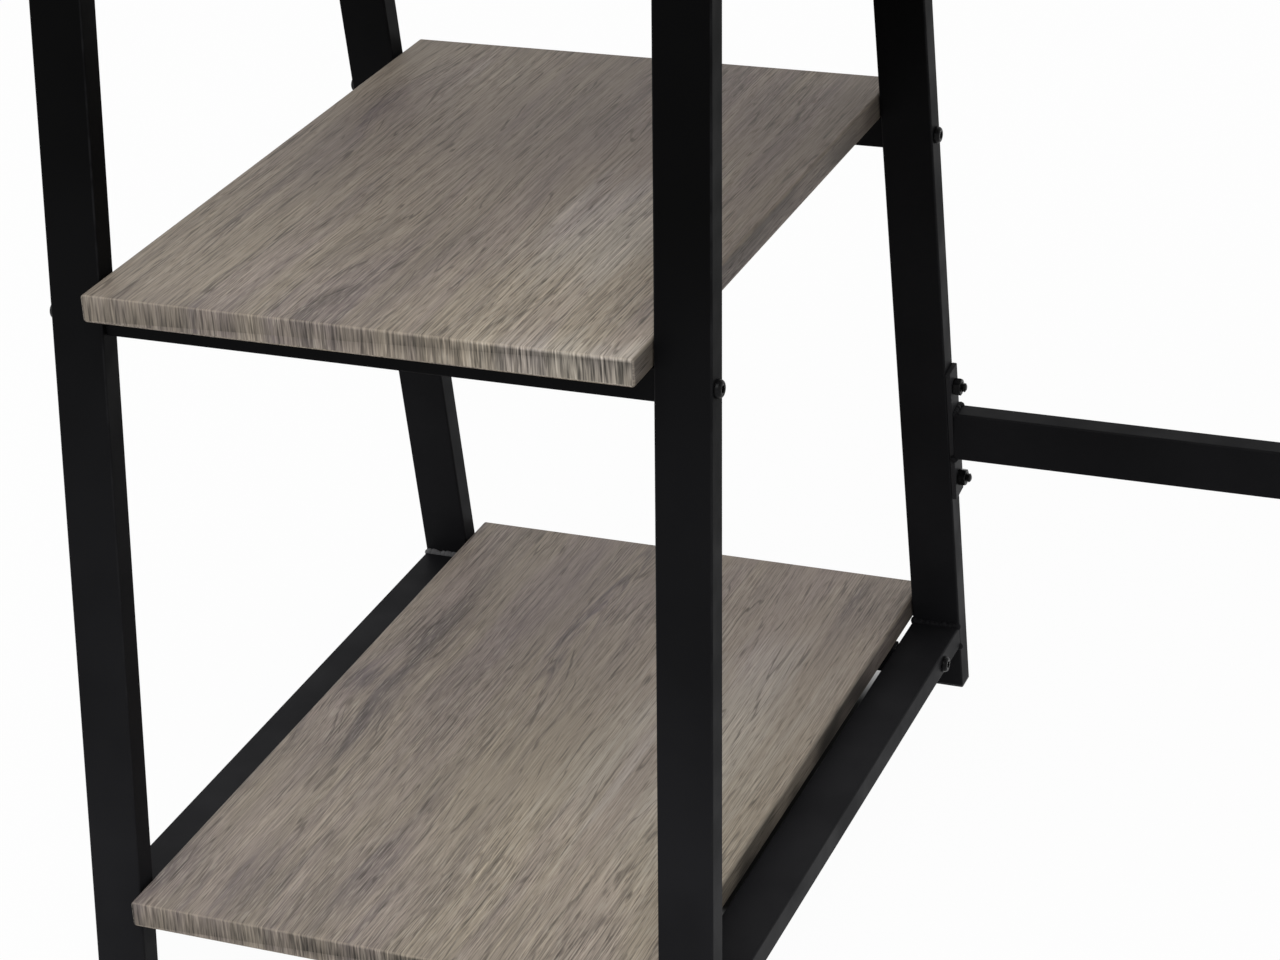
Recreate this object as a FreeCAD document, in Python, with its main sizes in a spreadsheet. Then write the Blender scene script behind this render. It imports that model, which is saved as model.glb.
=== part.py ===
# Desk on three A-frames of flat steel tube, with two open shelves between the two left frames.
# Millimetres. +X runs along the desk, +Y from front to back, +Z up.
# The origin is on the floor under the middle of the desktop.
import FreeCAD, Part
import math
import os
import Sketcher

# Driving dimensions
SIZES = {
    # Whole desk
    "desk_length": 1200,
    "desk_depth": 520,
    "desk_height": 750,
    "desktop_thickness": 18,
    "end_overhang": 15,
    # Flat tube of the frames and the stretcher
    "tube_width": 32,
    "tube_depth": 15.5,
    "tube_wall": 1.2,
    "tube_corner": 1.2,
    # A-frames
    "leg_angle": 6.86,
    "foot_setback": 16,
    "foot_rail_height": 33.5,
    "tower_gap": 324,
    # Shelf boards
    "shelf_thickness": 16,
    "shelf_side_gap": 1.75,
    "shelf_shift": 1,
    "upper_shelf_overhang": 20,
    "lower_shelf_overhang": 11,
    "shelf_forward": 3,
    "board_side_round": 2,
    "board_end_round": 1,
    # Small tubes under the shelves
    "rail_height": 19,
    "rail_depth": 10,
    "rail_wall": 1,
    "rail_corner": 0.9,
    "upper_rail_level": 407,
    "lower_rail_rise": 7,
    # Stretcher and its flange plates
    "stretcher_level": 197,
    "plate_length": 94,
    "plate_thickness": 3,
    "stud_spacing": 68,
    # Bolts, studs, nuts and threaded plugs
    "bolt_diameter": 6,
    "bolt_clearance": 0.3,
    "thread_clearance": 0.05,
    "bolt_head_diameter": 10.5,
    "bolt_head_height": 3.3,
    "bolt_head_round": 2.6,
    "socket_width": 4,
    "socket_depth": 2,
    "rail_bolt_bite": 11,
    "rail_plug_length": 14,
    "stud_flange_diameter": 9,
    "stud_flange_height": 1.5,
    "nut_width": 10,
    "nut_height": 5,
    "stud_tip": 3,
    # Wood screws
    "screw_diameter": 4,
    "screw_head_height": 2.5,
    "screw_bite": 10,
    "pilot_allowance": 1,
    "shelf_screw_inset": 60,
    "desktop_screw_inset": 40,
    # Plastic plugs in the lower ends of the legs
    "foot_flange": 1.5,
    "foot_plug_height": 18,
    "plug_fit": 0.1,
}

# Largest share of its wall that a rounding takes, and of its head that a socket takes
ROUND_LIMIT = 0.9
SOCKET_LIMIT = 0.8

# Places and fits worked out from the driving dimensions
PLACES = {
    "underside": "size.desk_height - size.desktop_thickness",
    "slope": "tan(size.leg_angle)",
    "leg_run": "size.tube_depth / cos(size.leg_angle)",
    "wall_run": "size.tube_wall / cos(size.leg_angle)",
    "fit_run": "size.plug_fit / cos(size.leg_angle)",
    "left_x": "-size.desk_length / 2 + size.end_overhang + size.tube_width / 2",
    "middle_x": "left_x + size.tube_width + size.tower_gap",
    "right_x": "size.desk_length / 2 - size.end_overhang - size.tube_width / 2",
    "tower_x": "(left_x + middle_x) / 2",
    "foot_spread": "size.desk_depth - 2 * size.foot_setback",
    "leg_middle_reach": "foot_spread / 2 - leg_run / 2",
    "rail_reach": "leg_middle_reach - slope * size.upper_rail_level",
    "stretcher_reach": "leg_middle_reach - slope * size.stretcher_level",
    "lower_rail_level": "size.foot_rail_height + size.lower_rail_rise",
    "upper_shelf_z": "size.upper_rail_level + size.rail_height / 2",
    "lower_shelf_z": "lower_rail_level + size.rail_height / 2",
    "shelf_width": "size.tower_gap - 2 * size.shelf_side_gap",
    "upper_shelf_reach": "foot_spread / 2 - slope * upper_shelf_z + size.upper_shelf_overhang",
    "lower_shelf_reach": "foot_spread / 2 - slope * lower_shelf_z + size.lower_shelf_overhang",
    "end_round": f"min(size.board_end_round; {ROUND_LIMIT} * size.board_side_round)",
    "bolt_hole_radius": "size.bolt_diameter / 2 + size.bolt_clearance",
    "thread_radius": "size.bolt_diameter / 2 + size.thread_clearance",
    "screw_hole_radius": "size.screw_diameter / 2 + size.bolt_clearance",
    "screw_head_radius": "size.rail_depth / 2 - size.rail_wall - size.bolt_clearance",
    "screw_access_radius": "screw_head_radius + size.bolt_clearance / 2",
    "pilot_radius": "size.screw_diameter / 2 + size.thread_clearance",
    "pilot_depth": "size.screw_bite + size.pilot_allowance",
    "screw_reach_x": "size.tower_gap / 2 - size.shelf_screw_inset",
    "top_rail_reach": "foot_spread / 2 - leg_run - slope * underside",
    "screw_reach_y": "top_rail_reach - size.desktop_screw_inset",
    "rail_bolt_length": "size.tube_width + size.rail_bolt_bite",
    "stud_length": "size.tube_wall + size.plate_thickness + size.nut_height + size.stud_tip",
    "shelf_screw_length": "size.rail_wall + size.screw_bite",
    "desktop_screw_length": "size.tube_depth + size.screw_bite",
    "stud_rise": "size.stud_spacing / 2 * cos(size.leg_angle)",
    "stud_lean": "size.stud_spacing / 2 * sin(size.leg_angle)",
    "stretcher_start": "middle_x + size.tube_width / 2 + size.plate_thickness",
    "stretcher_end": "right_x - size.tube_width / 2 - size.plate_thickness",
}

FRAMES = ("left", "middle", "right")
SIDES = {"front": -1, "back": 1}
X_AXIS = FreeCAD.Vector(1, 0, 0)
Y_AXIS = FreeCAD.Vector(0, 1, 0)
Z_AXIS = FreeCAD.Vector(0, 0, 1)
TURNED = FreeCAD.Rotation(Z_AXIS, 180)

doc = FreeCAD.newDocument("desk_with_shelves")
nodes = []


# Sheets
def fill_sheet(name, rows, lead):
    """Write one row per value: its name beside the aliased cell."""
    sheet = doc.addObject("Spreadsheet::Sheet", name)
    for row, (alias, value) in enumerate(rows.items(), start=1):
        sheet.set(f"A{row}", alias)
        sheet.set(f"B{row}", f"{lead}{value}")
        sheet.setAlias(f"B{row}", alias)
    doc.recompute()
    return sheet


size = fill_sheet("size", SIZES, "")
place = fill_sheet("place", PLACES, "=")


def value_of(expression):
    return float(place.evalExpression(str(expression)))


# Modelling helpers
def new_body(label, x="0", y="0", z="0"):
    body = doc.addObject("PartDesign::Body", label)
    body.Label = label
    for axis, expression in zip("xyz", (x, y, z)):
        body.setExpression(f"Placement.Base.{axis}", expression)
    return body


def new_node(label, x="0", y="0", z="0"):
    body = new_body(label, x, y, z)
    nodes.append(body)
    return body


def new_sketch(body, name, role, lift="0"):
    """Sketch on one of the body's own origin planes, raised along its normal by lift."""
    plane = next(item for item in body.Origin.OriginFeatures if item.Role == role)
    sketch = body.newObject("Sketcher::SketchObject", f"{body.Name}_{name}")
    sketch.AttachmentSupport = (plane, [""])
    sketch.MapMode = "FlatFace"
    sketch.setExpression("AttachmentOffset.Base.z", lift)
    return sketch


def pin_point(sketch, geometry, position, place_xy):
    """Tie one point of the sketch to the expressions for its two coordinates."""
    for kind, expression in zip(("DistanceX", "DistanceY"), place_xy):
        constraint = Sketcher.Constraint(kind, -1, 1, geometry, position, value_of(expression))
        index = sketch.addConstraint(constraint)
        sketch.setExpression(f"Constraints[{index}]", expression)


def add_polygon(sketch, corners):
    points = [FreeCAD.Vector(value_of(x), value_of(y), 0) for x, y in corners]
    first = sketch.GeometryCount
    count = len(points)
    for index in range(count):
        sketch.addGeometry(Part.LineSegment(points[index], points[(index + 1) % count]))
    for index in range(count):
        following = first + (index + 1) % count
        sketch.addConstraint(Sketcher.Constraint("Coincident", first + index, 2, following, 1))
    for index, corner in enumerate(corners):
        pin_point(sketch, first + index, 1, corner)


def add_rectangle(sketch, x_low, x_high, y_low, y_high):
    add_polygon(sketch, [(x_low, y_low), (x_high, y_low), (x_high, y_high), (x_low, y_high)])


def add_centred_rectangle(sketch, width, height):
    add_rectangle(sketch, f"-({width}) / 2", f"({width}) / 2", f"-({height}) / 2", f"({height}) / 2")


def add_hexagon(sketch, width):
    """Regular hexagon centred on the origin, measured across its flats."""
    half = f"({width}) / 2"
    corner = f"({width}) / sqrt(3)"
    add_polygon(sketch, [
        ("0", corner), (f"-{half}", f"{corner} / 2"), (f"-{half}", f"-{corner} / 2"),
        ("0", f"-{corner}"), (half, f"-{corner} / 2"), (half, f"{corner} / 2"),
    ])


def add_circle(sketch, centre, radius):
    middle = FreeCAD.Vector(value_of(centre[0]), value_of(centre[1]), 0)
    circle = Part.Circle(middle, FreeCAD.Vector(0, 0, 1), value_of(radius))
    geometry = sketch.addGeometry(circle)
    pin_point(sketch, geometry, 3, centre)
    index = sketch.addConstraint(Sketcher.Constraint("Radius", geometry, value_of(radius)))
    sketch.setExpression(f"Constraints[{index}]", radius)


def add_pad(body, sketch, length, side="One side", turned=False):
    pad = body.newObject("PartDesign::Pad", f"{sketch.Name}_pad")
    pad.Profile = sketch
    pad.SideType = side
    pad.Reversed = turned
    pad.setExpression("Length", length)
    doc.recompute()
    return pad


def add_pocket(body, sketch, length, side="One side", turned=False):
    pocket = body.newObject("PartDesign::Pocket", f"{sketch.Name}_pocket")
    pocket.Profile = sketch
    pocket.SideType = side
    pocket.Reversed = turned
    pocket.setExpression("Length", length)
    doc.recompute()
    return pocket


def add_through(body, sketch):
    """Cut the sketch's outline right through the body, both ways."""
    pocket = body.newObject("PartDesign::Pocket", f"{sketch.Name}_through")
    pocket.Profile = sketch
    pocket.Type = "ThroughAll"
    pocket.SideType = "Symmetric"
    doc.recompute()
    return pocket


def add_fillet(body, feature, edges, radius):
    fillet = body.newObject("PartDesign::Fillet", f"{feature.Name}_fillet")
    fillet.Base = (feature, edges)
    fillet.setExpression("Radius", radius)
    doc.recompute()
    return fillet


def edges_along(feature, direction):
    """Names of the feature's straight edges that run along the direction."""
    names = []
    for index, edge in enumerate(feature.Shape.Edges, start=1):
        if edge.Curve.TypeId != "Part::GeomLine":
            continue
        if edge.Curve.Direction.cross(direction).Length < 1e-6:
            names.append(f"Edge{index}")
    return names


def rim_edges(feature, axis, level):
    """Names of the feature's round edges whose centre lies at the level along the axis."""
    names = []
    for index, edge in enumerate(feature.Shape.Edges, start=1):
        if edge.Curve.TypeId != "Part::GeomCircle":
            continue
        if abs(edge.Curve.Center.dot(axis) - level) < 1e-6:
            names.append(f"Edge{index}")
    return names


def end_faces(feature, direction):
    """Names of the feature's flat faces that look along the direction, either way."""
    names = []
    for index, face in enumerate(feature.Shape.Faces, start=1):
        if face.Surface.TypeId != "Part::GeomPlane":
            continue
        if face.normalAt(0, 0).cross(direction).Length < 1e-6:
            names.append(f"Face{index}")
    return names


def new_group(label, master, copies):
    """One node of separate solids: linked copies of the master, each with its place and turn."""
    links = []
    for number, (x, y, z, turn) in enumerate(copies, start=1):
        link = doc.addObject("App::Link", f"{label}_{number}")
        link.setLink(master)
        link.Placement = FreeCAD.Placement(FreeCAD.Vector(), turn)
        for axis, expression in zip("xyz", (x, y, z)):
            link.setExpression(f"Placement.Base.{axis}", expression)
        links.append(link)
    group = doc.addObject("Part::Compound", label)
    group.Label = label
    group.Links = links
    nodes.append(group)
    return group


# Frames
def leg_outline(side, low, high, inset):
    """Corners of a leaning leg between two heights, drawn in from its faces by inset."""
    def outer(level):
        return f"{side} * (place.foot_spread / 2 - place.slope * ({level}) - ({inset}))"

    def inner(level):
        return f"{side} * (place.foot_spread / 2 - place.slope * ({level}) - place.leg_run + ({inset}))"

    return [(outer(low), low), (inner(low), low), (inner(high), high), (outer(high), high)]


def stud_centres():
    """Places of the two studs at one end of the stretcher, across and up the back leg."""
    centres = []
    for sign in (1, -1):
        y = f"place.stretcher_reach - {sign} * place.stud_lean"
        z = f"size.stretcher_level + {sign} * place.stud_rise"
        centres.append((y, z))
    return centres


def make_leg(frame, name):
    side = SIDES[name]
    body = new_node(f"{frame}_{name}_leg", x=f"place.{frame}_x")
    outline = new_sketch(body, "outline", "YZ_Plane")
    add_polygon(outline, leg_outline(side, "size.foot_flange", "place.underside", "0"))
    pad = add_pad(body, outline, "size.tube_width", side="Symmetric")
    angle = math.radians(value_of("size.leg_angle"))
    lean = FreeCAD.Vector(0, -side * math.sin(angle), math.cos(angle))
    add_fillet(body, pad, edges_along(pad, lean), "size.tube_corner")
    bore = new_sketch(body, "bore", "YZ_Plane")
    add_polygon(bore, leg_outline(side, "0", "size.desk_height", "place.wall_run"))
    add_pocket(body, bore, "size.tube_width - 2 * size.tube_wall", side="Symmetric")
    if frame != "right":
        hole = new_sketch(body, "bolt_hole", "YZ_Plane")
        add_circle(hole, (f"{side} * place.rail_reach", "size.upper_rail_level"), "place.bolt_hole_radius")
        add_through(body, hole)
    if frame != "left" and name == "back":
        holes = new_sketch(body, "stud_holes", "YZ_Plane")
        for centre in stud_centres():
            add_circle(holes, centre, "place.bolt_hole_radius")
        add_pocket(body, holes, "size.tube_width / 2", turned=frame == "middle")


def make_frame_rail(frame, name, low):
    """Tube laid flat between the legs of one frame, its ends cut to their slope."""
    high = f"{low} + size.tube_depth"
    reach = "place.foot_spread / 2 - place.leg_run - place.slope"
    body = new_node(f"{frame}_{name}", x=f"place.{frame}_x")
    outline = new_sketch(body, "outline", "YZ_Plane")
    add_polygon(outline, [
        (f"-({reach} * ({low}))", low), (f"{reach} * ({low})", low),
        (f"{reach} * ({high})", high), (f"-({reach} * ({high}))", high),
    ])
    pad = add_pad(body, outline, "size.tube_width", side="Symmetric")
    add_fillet(body, pad, edges_along(pad, Y_AXIS), "size.tube_corner")
    bore = new_sketch(body, "bore", "XZ_Plane")
    half = "(size.tube_width / 2 - size.tube_wall)"
    add_rectangle(bore, f"-{half}", half, f"{low} + size.tube_wall", f"{high} - size.tube_wall")
    add_through(body, bore)
    return body


def make_foot_rail(frame):
    body = make_frame_rail(frame, "foot_rail", "size.foot_rail_height")
    if frame == "right":
        return
    holes = new_sketch(body, "holes", "YZ_Plane")
    for side in SIDES.values():
        centre = (f"{side} * place.rail_reach", "place.lower_rail_level")
        add_circle(holes, centre, "place.bolt_hole_radius")
    add_through(body, holes)


def make_top_rail(frame):
    body = make_frame_rail(frame, "top_rail", "place.underside - size.tube_depth")
    holes = new_sketch(body, "holes", "XY_Plane")
    for side in SIDES.values():
        add_circle(holes, ("0", f"{side} * place.screw_reach_y"), "place.screw_hole_radius")
    add_through(body, holes)


def make_foot_plug(frame, name):
    side = SIDES[name]
    body = new_node(f"{frame}_{name}_foot_plug", x=f"place.{frame}_x")
    flange = new_sketch(body, "flange", "YZ_Plane")
    add_polygon(flange, leg_outline(side, "0", "size.foot_flange", "0"))
    pad = add_pad(body, flange, "size.tube_width", side="Symmetric")
    angle = math.radians(value_of("size.leg_angle"))
    lean = FreeCAD.Vector(0, -side * math.sin(angle), math.cos(angle))
    add_fillet(body, pad, edges_along(pad, lean), "size.tube_corner")
    stem = new_sketch(body, "stem", "YZ_Plane")
    top = "size.foot_flange + size.foot_plug_height"
    add_polygon(stem, leg_outline(side, "size.foot_flange", top, "place.wall_run + place.fit_run"))
    width = "size.tube_width - 2 * size.tube_wall - 2 * size.plug_fit"
    add_pad(body, stem, width, side="Symmetric")


# Boards
def make_board(label, spot, outline, thickness, screws):
    """Board with eased edges and blind pilot holes in its underside."""
    body = new_node(label, *spot)
    plan = new_sketch(body, "plan", "XY_Plane")
    add_rectangle(plan, *outline)
    pad = add_pad(body, plan, thickness)
    sides = add_fillet(body, pad, edges_along(pad, Y_AXIS), "size.board_side_round")
    add_fillet(body, sides, end_faces(sides, Y_AXIS), "place.end_round")
    pilots = new_sketch(body, "pilots", "XY_Plane")
    for screw in screws:
        add_circle(pilots, screw, "place.pilot_radius")
    add_pocket(body, pilots, "place.pilot_depth", turned=True)


def make_shelf(level):
    screws = [
        (f"{end} * place.screw_reach_x", f"{side} * place.rail_reach")
        for end in (-1, 1) for side in SIDES.values()
    ]
    width = "place.shelf_width / 2"
    depth = f"place.{level}_shelf_reach"
    outline = (
        f"-{width} + size.shelf_shift", f"{width} + size.shelf_shift",
        f"-{depth} - size.shelf_forward", f"{depth} - size.shelf_forward",
    )
    spot = ("place.tower_x", "0", f"place.{level}_shelf_z")
    make_board(f"{level}_shelf", spot, outline, "size.shelf_thickness", screws)


def make_desktop():
    screws = [
        (f"place.{frame}_x", f"{side} * place.screw_reach_y")
        for frame in FRAMES for side in SIDES.values()
    ]
    length = "size.desk_length / 2"
    depth = "size.desk_depth / 2"
    outline = (f"-{length}", length, f"-{depth}", depth)
    make_board("desktop", ("0", "0", "place.underside"), outline, "size.desktop_thickness", screws)


# Tubes along X
def make_cross_tube(label, spot, section, wall, corner, length):
    """Hollow rectangular tube along X, centred on its spot."""
    depth, height = section
    body = new_node(label, *spot)
    outline = new_sketch(body, "outline", "YZ_Plane")
    add_centred_rectangle(outline, depth, height)
    pad = add_pad(body, outline, length, side="Symmetric")
    add_fillet(body, pad, edges_along(pad, X_AXIS), corner)
    bore = new_sketch(body, "bore", "YZ_Plane")
    add_centred_rectangle(bore, f"{depth} - 2 * {wall}", f"{height} - 2 * {wall}")
    add_through(body, bore)
    return body


def make_shelf_rail(level, name, height):
    """Rail with screw holes in its upper wall, and wider ones below that let the heads through."""
    spot = ("place.tower_x", f"{SIDES[name]} * place.rail_reach", height)
    section = ("size.rail_depth", "size.rail_height")
    label = f"{level}_{name}_rail"
    body = make_cross_tube(label, spot, section, "size.rail_wall", "size.rail_corner", "size.tower_gap")
    holes = new_sketch(body, "holes", "XY_Plane")
    access = new_sketch(body, "access", "XY_Plane")
    for end in (-1, 1):
        centre = (f"{end} * place.screw_reach_x", "0")
        add_circle(holes, centre, "place.screw_hole_radius")
        add_circle(access, centre, "place.screw_access_radius")
    add_through(body, holes)
    add_pocket(body, access, "size.rail_height / 2")


def make_stretcher():
    middle = "(place.stretcher_start + place.stretcher_end) / 2"
    spot = (middle, "place.stretcher_reach", "size.stretcher_level")
    section = ("size.tube_depth", "size.tube_width")
    length = "place.stretcher_end - place.stretcher_start"
    make_cross_tube("back_stretcher", spot, section, "size.tube_wall", "size.tube_corner", length)


def make_plate(label, x):
    """Flange plate that lies along the back leg, with a stud hole at each end."""
    body = new_node(label, x, "place.stretcher_reach", "size.stretcher_level")
    body.Placement = FreeCAD.Placement(FreeCAD.Vector(), FreeCAD.Rotation(X_AXIS, 1))
    body.setExpression("Placement.Rotation.Angle", "size.leg_angle")
    face = new_sketch(body, "face", "YZ_Plane")
    add_centred_rectangle(face, "size.tube_depth", "size.plate_length")
    for sign in (1, -1):
        add_circle(face, ("0", f"{sign} * size.stud_spacing / 2"), "place.bolt_hole_radius")
    add_pad(body, face, "size.plate_thickness")


# Fasteners
def make_headed_shank(label, length, head_diameter, head_height):
    """Round shank with a round head towards +X, whose underside is at x = 0."""
    body = new_body(label)
    shank = new_sketch(body, "shank", "YZ_Plane")
    add_circle(shank, ("0", "0"), "size.bolt_diameter / 2")
    add_pad(body, shank, length, turned=True)
    head = new_sketch(body, "head", "YZ_Plane")
    add_circle(head, ("0", "0"), f"{head_diameter} / 2")
    return body, add_pad(body, head, head_height)


def make_rail_bolt():
    """Domed bolt with a hexagon socket."""
    height = "size.bolt_head_height"
    body, pad = make_headed_shank("rail_bolt", "place.rail_bolt_length", "size.bolt_head_diameter", height)
    rim = rim_edges(pad, X_AXIS, value_of(height))
    add_fillet(body, pad, rim, f"min(size.bolt_head_round; {ROUND_LIMIT} * {height})")
    socket = new_sketch(body, "socket", "YZ_Plane", height)
    add_hexagon(socket, "size.socket_width")
    add_pocket(body, socket, f"min(size.socket_depth; {SOCKET_LIMIT} * {height})")
    return body


def make_stud():
    """Threaded stud whose flange is welded to the inner side of the leg's wall."""
    flange = ("size.stud_flange_diameter", "size.stud_flange_height")
    body, _ = make_headed_shank("stud", "place.stud_length", *flange)
    return body


def make_screw(label, length):
    """Pan-head screw that points up, the upper face of its head at z = 0."""
    body = new_body(label)
    shank = new_sketch(body, "shank", "XY_Plane")
    add_circle(shank, ("0", "0"), "size.screw_diameter / 2")
    add_pad(body, shank, length)
    head = new_sketch(body, "head", "XY_Plane")
    add_circle(head, ("0", "0"), "place.screw_head_radius")
    add_pad(body, head, "size.screw_head_height", turned=True)
    return body


def make_nut():
    """Hexagon nut whose seat is at x = 0 and whose outer face looks along +X."""
    body = new_body("nut")
    outline = new_sketch(body, "outline", "YZ_Plane")
    add_hexagon(outline, "size.nut_width")
    add_circle(outline, ("0", "0"), "place.thread_radius")
    add_pad(body, outline, "size.nut_height")
    return body


def make_rail_plug():
    """Threaded block for the end of a shelf rail: it starts at x = 0 and runs along +X."""
    body = new_body("rail_plug")
    outline = new_sketch(body, "outline", "YZ_Plane")
    slack = "2 * (size.rail_wall + size.plug_fit)"
    add_centred_rectangle(outline, f"size.rail_depth - {slack}", f"size.rail_height - {slack}")
    add_circle(outline, ("0", "0"), "place.thread_radius")
    add_pad(body, outline, "size.rail_plug_length")
    return body


def group_rail_fasteners(bolt, plug, screw):
    """Bolts, plugs and screws of the four shelf rails, one group of each kind per shelf."""
    straight = FreeCAD.Rotation()
    levels = {"upper": "size.upper_rail_level", "lower": "place.lower_rail_level"}
    for level, z in levels.items():
        bolts = []
        plugs = []
        screws = []
        for side in SIDES.values():
            y = f"{side} * place.rail_reach"
            bolts.append(("place.left_x - size.tube_width / 2", y, z, TURNED))
            bolts.append(("place.middle_x + size.tube_width / 2", y, z, straight))
            plugs.append(("place.tower_x - size.tower_gap / 2", y, z, straight))
            plugs.append(("place.tower_x + size.tower_gap / 2", y, z, TURNED))
            for end in (-1, 1):
                x = f"place.tower_x + {end} * place.screw_reach_x"
                screws.append((x, y, f"{z} + size.rail_height / 2 - size.rail_wall", straight))
        new_group(f"{level}_rail_bolts", bolt, bolts)
        new_group(f"{level}_rail_plugs", plug, plugs)
        new_group(f"{level}_shelf_screws", screw, screws)


def group_stretcher_fasteners(stud, nut):
    straight = FreeCAD.Rotation()
    studs = []
    nuts = []
    for y, z in stud_centres():
        studs.append(("place.stretcher_start - size.plate_thickness - size.tube_wall", y, z, TURNED))
        studs.append(("place.stretcher_end + size.plate_thickness + size.tube_wall", y, z, straight))
        nuts.append(("place.stretcher_start", y, z, straight))
        nuts.append(("place.stretcher_end", y, z, TURNED))
    new_group("stretcher_studs", stud, studs)
    new_group("stretcher_nuts", nut, nuts)


def group_desktop_screws(screw):
    seat = "place.underside - size.tube_depth"
    copies = [
        (f"place.{frame}_x", f"{side} * place.screw_reach_y", seat, FreeCAD.Rotation())
        for frame in FRAMES for side in SIDES.values()
    ]
    new_group("desktop_screws", screw, copies)


# Whole desk
def build():
    make_desktop()
    make_shelf("upper")
    make_shelf("lower")
    for frame in FRAMES:
        for name in SIDES:
            make_leg(frame, name)
            make_foot_plug(frame, name)
        make_foot_rail(frame)
        make_top_rail(frame)
    for name in SIDES:
        make_shelf_rail("upper", name, "size.upper_rail_level")
        make_shelf_rail("lower", name, "place.lower_rail_level")
    make_stretcher()
    make_plate("stretcher_left_plate", "place.middle_x + size.tube_width / 2")
    make_plate("stretcher_right_plate", "place.stretcher_end")
    shelf_screw = make_screw("shelf_screw", "place.shelf_screw_length")
    group_rail_fasteners(make_rail_bolt(), make_rail_plug(), shelf_screw)
    group_stretcher_fasteners(make_stud(), make_nut())
    group_desktop_screws(make_screw("desktop_screw", "place.desktop_screw_length"))
    doc.recompute()


def check():
    """Stop before anything is written if a feature failed, cut nothing or gave a bad shape."""
    for item in doc.Objects:
        if "Invalid" in item.State or "Error" in item.State:
            raise RuntimeError(f"{item.Label} failed: {item.State}")
        if item.TypeId == "PartDesign::Pocket":
            if item.Shape.Volume >= item.BaseFeature.Shape.Volume:
                raise RuntimeError(f"{item.Label} cuts nothing")
    for node in nodes:
        if node.Shape.isNull() or not node.Shape.isValid():
            raise RuntimeError(f"{node.Label} has no valid shape")


def export():
    os.makedirs("parts", exist_ok=True)
    for node in nodes:
        node.Shape.exportStep(f"parts/{node.Label}.step")
        print(node.Label, len(node.Shape.Solids), round(node.Shape.Volume))


build()
check()
export()
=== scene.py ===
"""Desk with shelves: foil-wrapped boards on A-frames of black flat tube."""
import math

import bpy
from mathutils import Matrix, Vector


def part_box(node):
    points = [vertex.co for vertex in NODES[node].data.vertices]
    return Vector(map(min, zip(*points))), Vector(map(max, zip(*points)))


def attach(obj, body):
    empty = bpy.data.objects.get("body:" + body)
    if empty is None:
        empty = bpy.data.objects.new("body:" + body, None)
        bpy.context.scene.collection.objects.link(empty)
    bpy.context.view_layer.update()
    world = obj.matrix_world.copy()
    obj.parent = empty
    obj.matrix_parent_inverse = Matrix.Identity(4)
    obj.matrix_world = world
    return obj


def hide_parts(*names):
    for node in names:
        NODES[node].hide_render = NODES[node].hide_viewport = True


bl_info = {
    "name": "Desk with shelves",
    "version": (1, 0, 0),
    "blender": (4, 5, 0),
    "location": "3D View > Sidebar > Desk",
    "description": "Builds the visible pieces of a desk with shelves around its frame",
    "category": "Object",
}

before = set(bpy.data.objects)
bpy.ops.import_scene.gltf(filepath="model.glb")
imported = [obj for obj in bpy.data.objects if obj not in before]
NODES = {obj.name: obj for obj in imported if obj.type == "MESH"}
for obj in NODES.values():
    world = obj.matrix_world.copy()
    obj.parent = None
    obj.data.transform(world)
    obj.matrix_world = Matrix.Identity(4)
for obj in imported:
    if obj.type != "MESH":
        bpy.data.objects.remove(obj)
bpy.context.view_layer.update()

FRAMES = ("left", "middle", "right")
BODY = "root"
MM = 0.001

# How finely round shapes are cut, and the angles in degrees past which their edges are sharp
CORNER_STEPS = 5
TURN_STEPS = 48
PIECE_SMOOTH = 40.0
TURNED_SMOOTH = 32.0
PLATE_SMOOTH = 30.0
SET_SMOOTH = 38.0
THREAD_STEPS = 6
THREAD_END = 0.35
BOLT_DOME_STEPS = 8
SCREW_DOME_STEPS = 6
LEAN_STEPS = 20

# Lines of points beside rounded edges, which keep the flats flat
BOARD_LINE = 0.5 * MM
TUBE_LINE = 0.4 * MM
PLATE_LINE = 0.3 * MM
# A tube's inner outline lies in from the outer by its wall, or by this share of a smaller corner
HOLLOW_SHARE = 0.9

# Grit and the limits of roughness of the coat on tubes and plates, and of the lighter coat copy that paints
# light on the left frame's welds
SATIN = (0.04 * MM, 0.46, 0.58)
GLOSSY = (0.06 * MM, 0.34, 0.46)

# Marks of the grain: width, length, detail, and their place in the noise
GRAIN_MARKS = {
    "sway": (0.090, 0.20, 1.0, 0.5),
    "wobble": (0.010, 0.030, 1.0, 0.8),
    "bands": (0.055, 0.70, 2.0, 1.1),
    "streaks": (0.009, 0.16, 3.0, 2.3),
    "fibres": (0.0010, 0.060, 2.0, 3.7),
    "ticks": (0.0010, 0.014, 1.0, 4.9),
    "hue": (0.034, 0.30, 2.0, 5.3),
    "crowd": (0.045, 0.12, 2.0, 6.1),
    "slits": (0.0013, 0.022, 2.0, 7.9),
    "waves": (0.0060, 0.110, 1.0, 8.4),
    "ripple": (0.012, 0.018, 2.0, 9.2),
    "broken": (0.0040, 0.032, 1.0, 10.3),
}
GRAIN_ROUGHNESS = 0.55
# How far the marks bend the grain, in metres, and the share of that bend in the pressed marks
SWAY_REACH = 0.020
WOBBLE_REACH = 0.0009
RIPPLE_REACH = 0.006
PRESSED_BEND = 0.25
# How strongly the marks show
BAND_SHARE = 0.45
SHADE_DEPTH = 0.24
FIBRE_DEPTH = 2.1
CRACK_DEPTH = 0.55
TICK_DARK = 0.36
TICK_PALE = 0.40
# Arches: width, length and detail of their rings, how fast they fade sideways, and depth
ARCH_RINGS = (0.22, 2.0, 2.0)
ARCH_FADE = 0.45
ARCH_DEPTH = 0.9
# Half the width of a seam's sharp side
SEAM_EDGE = 0.4 * MM

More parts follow.
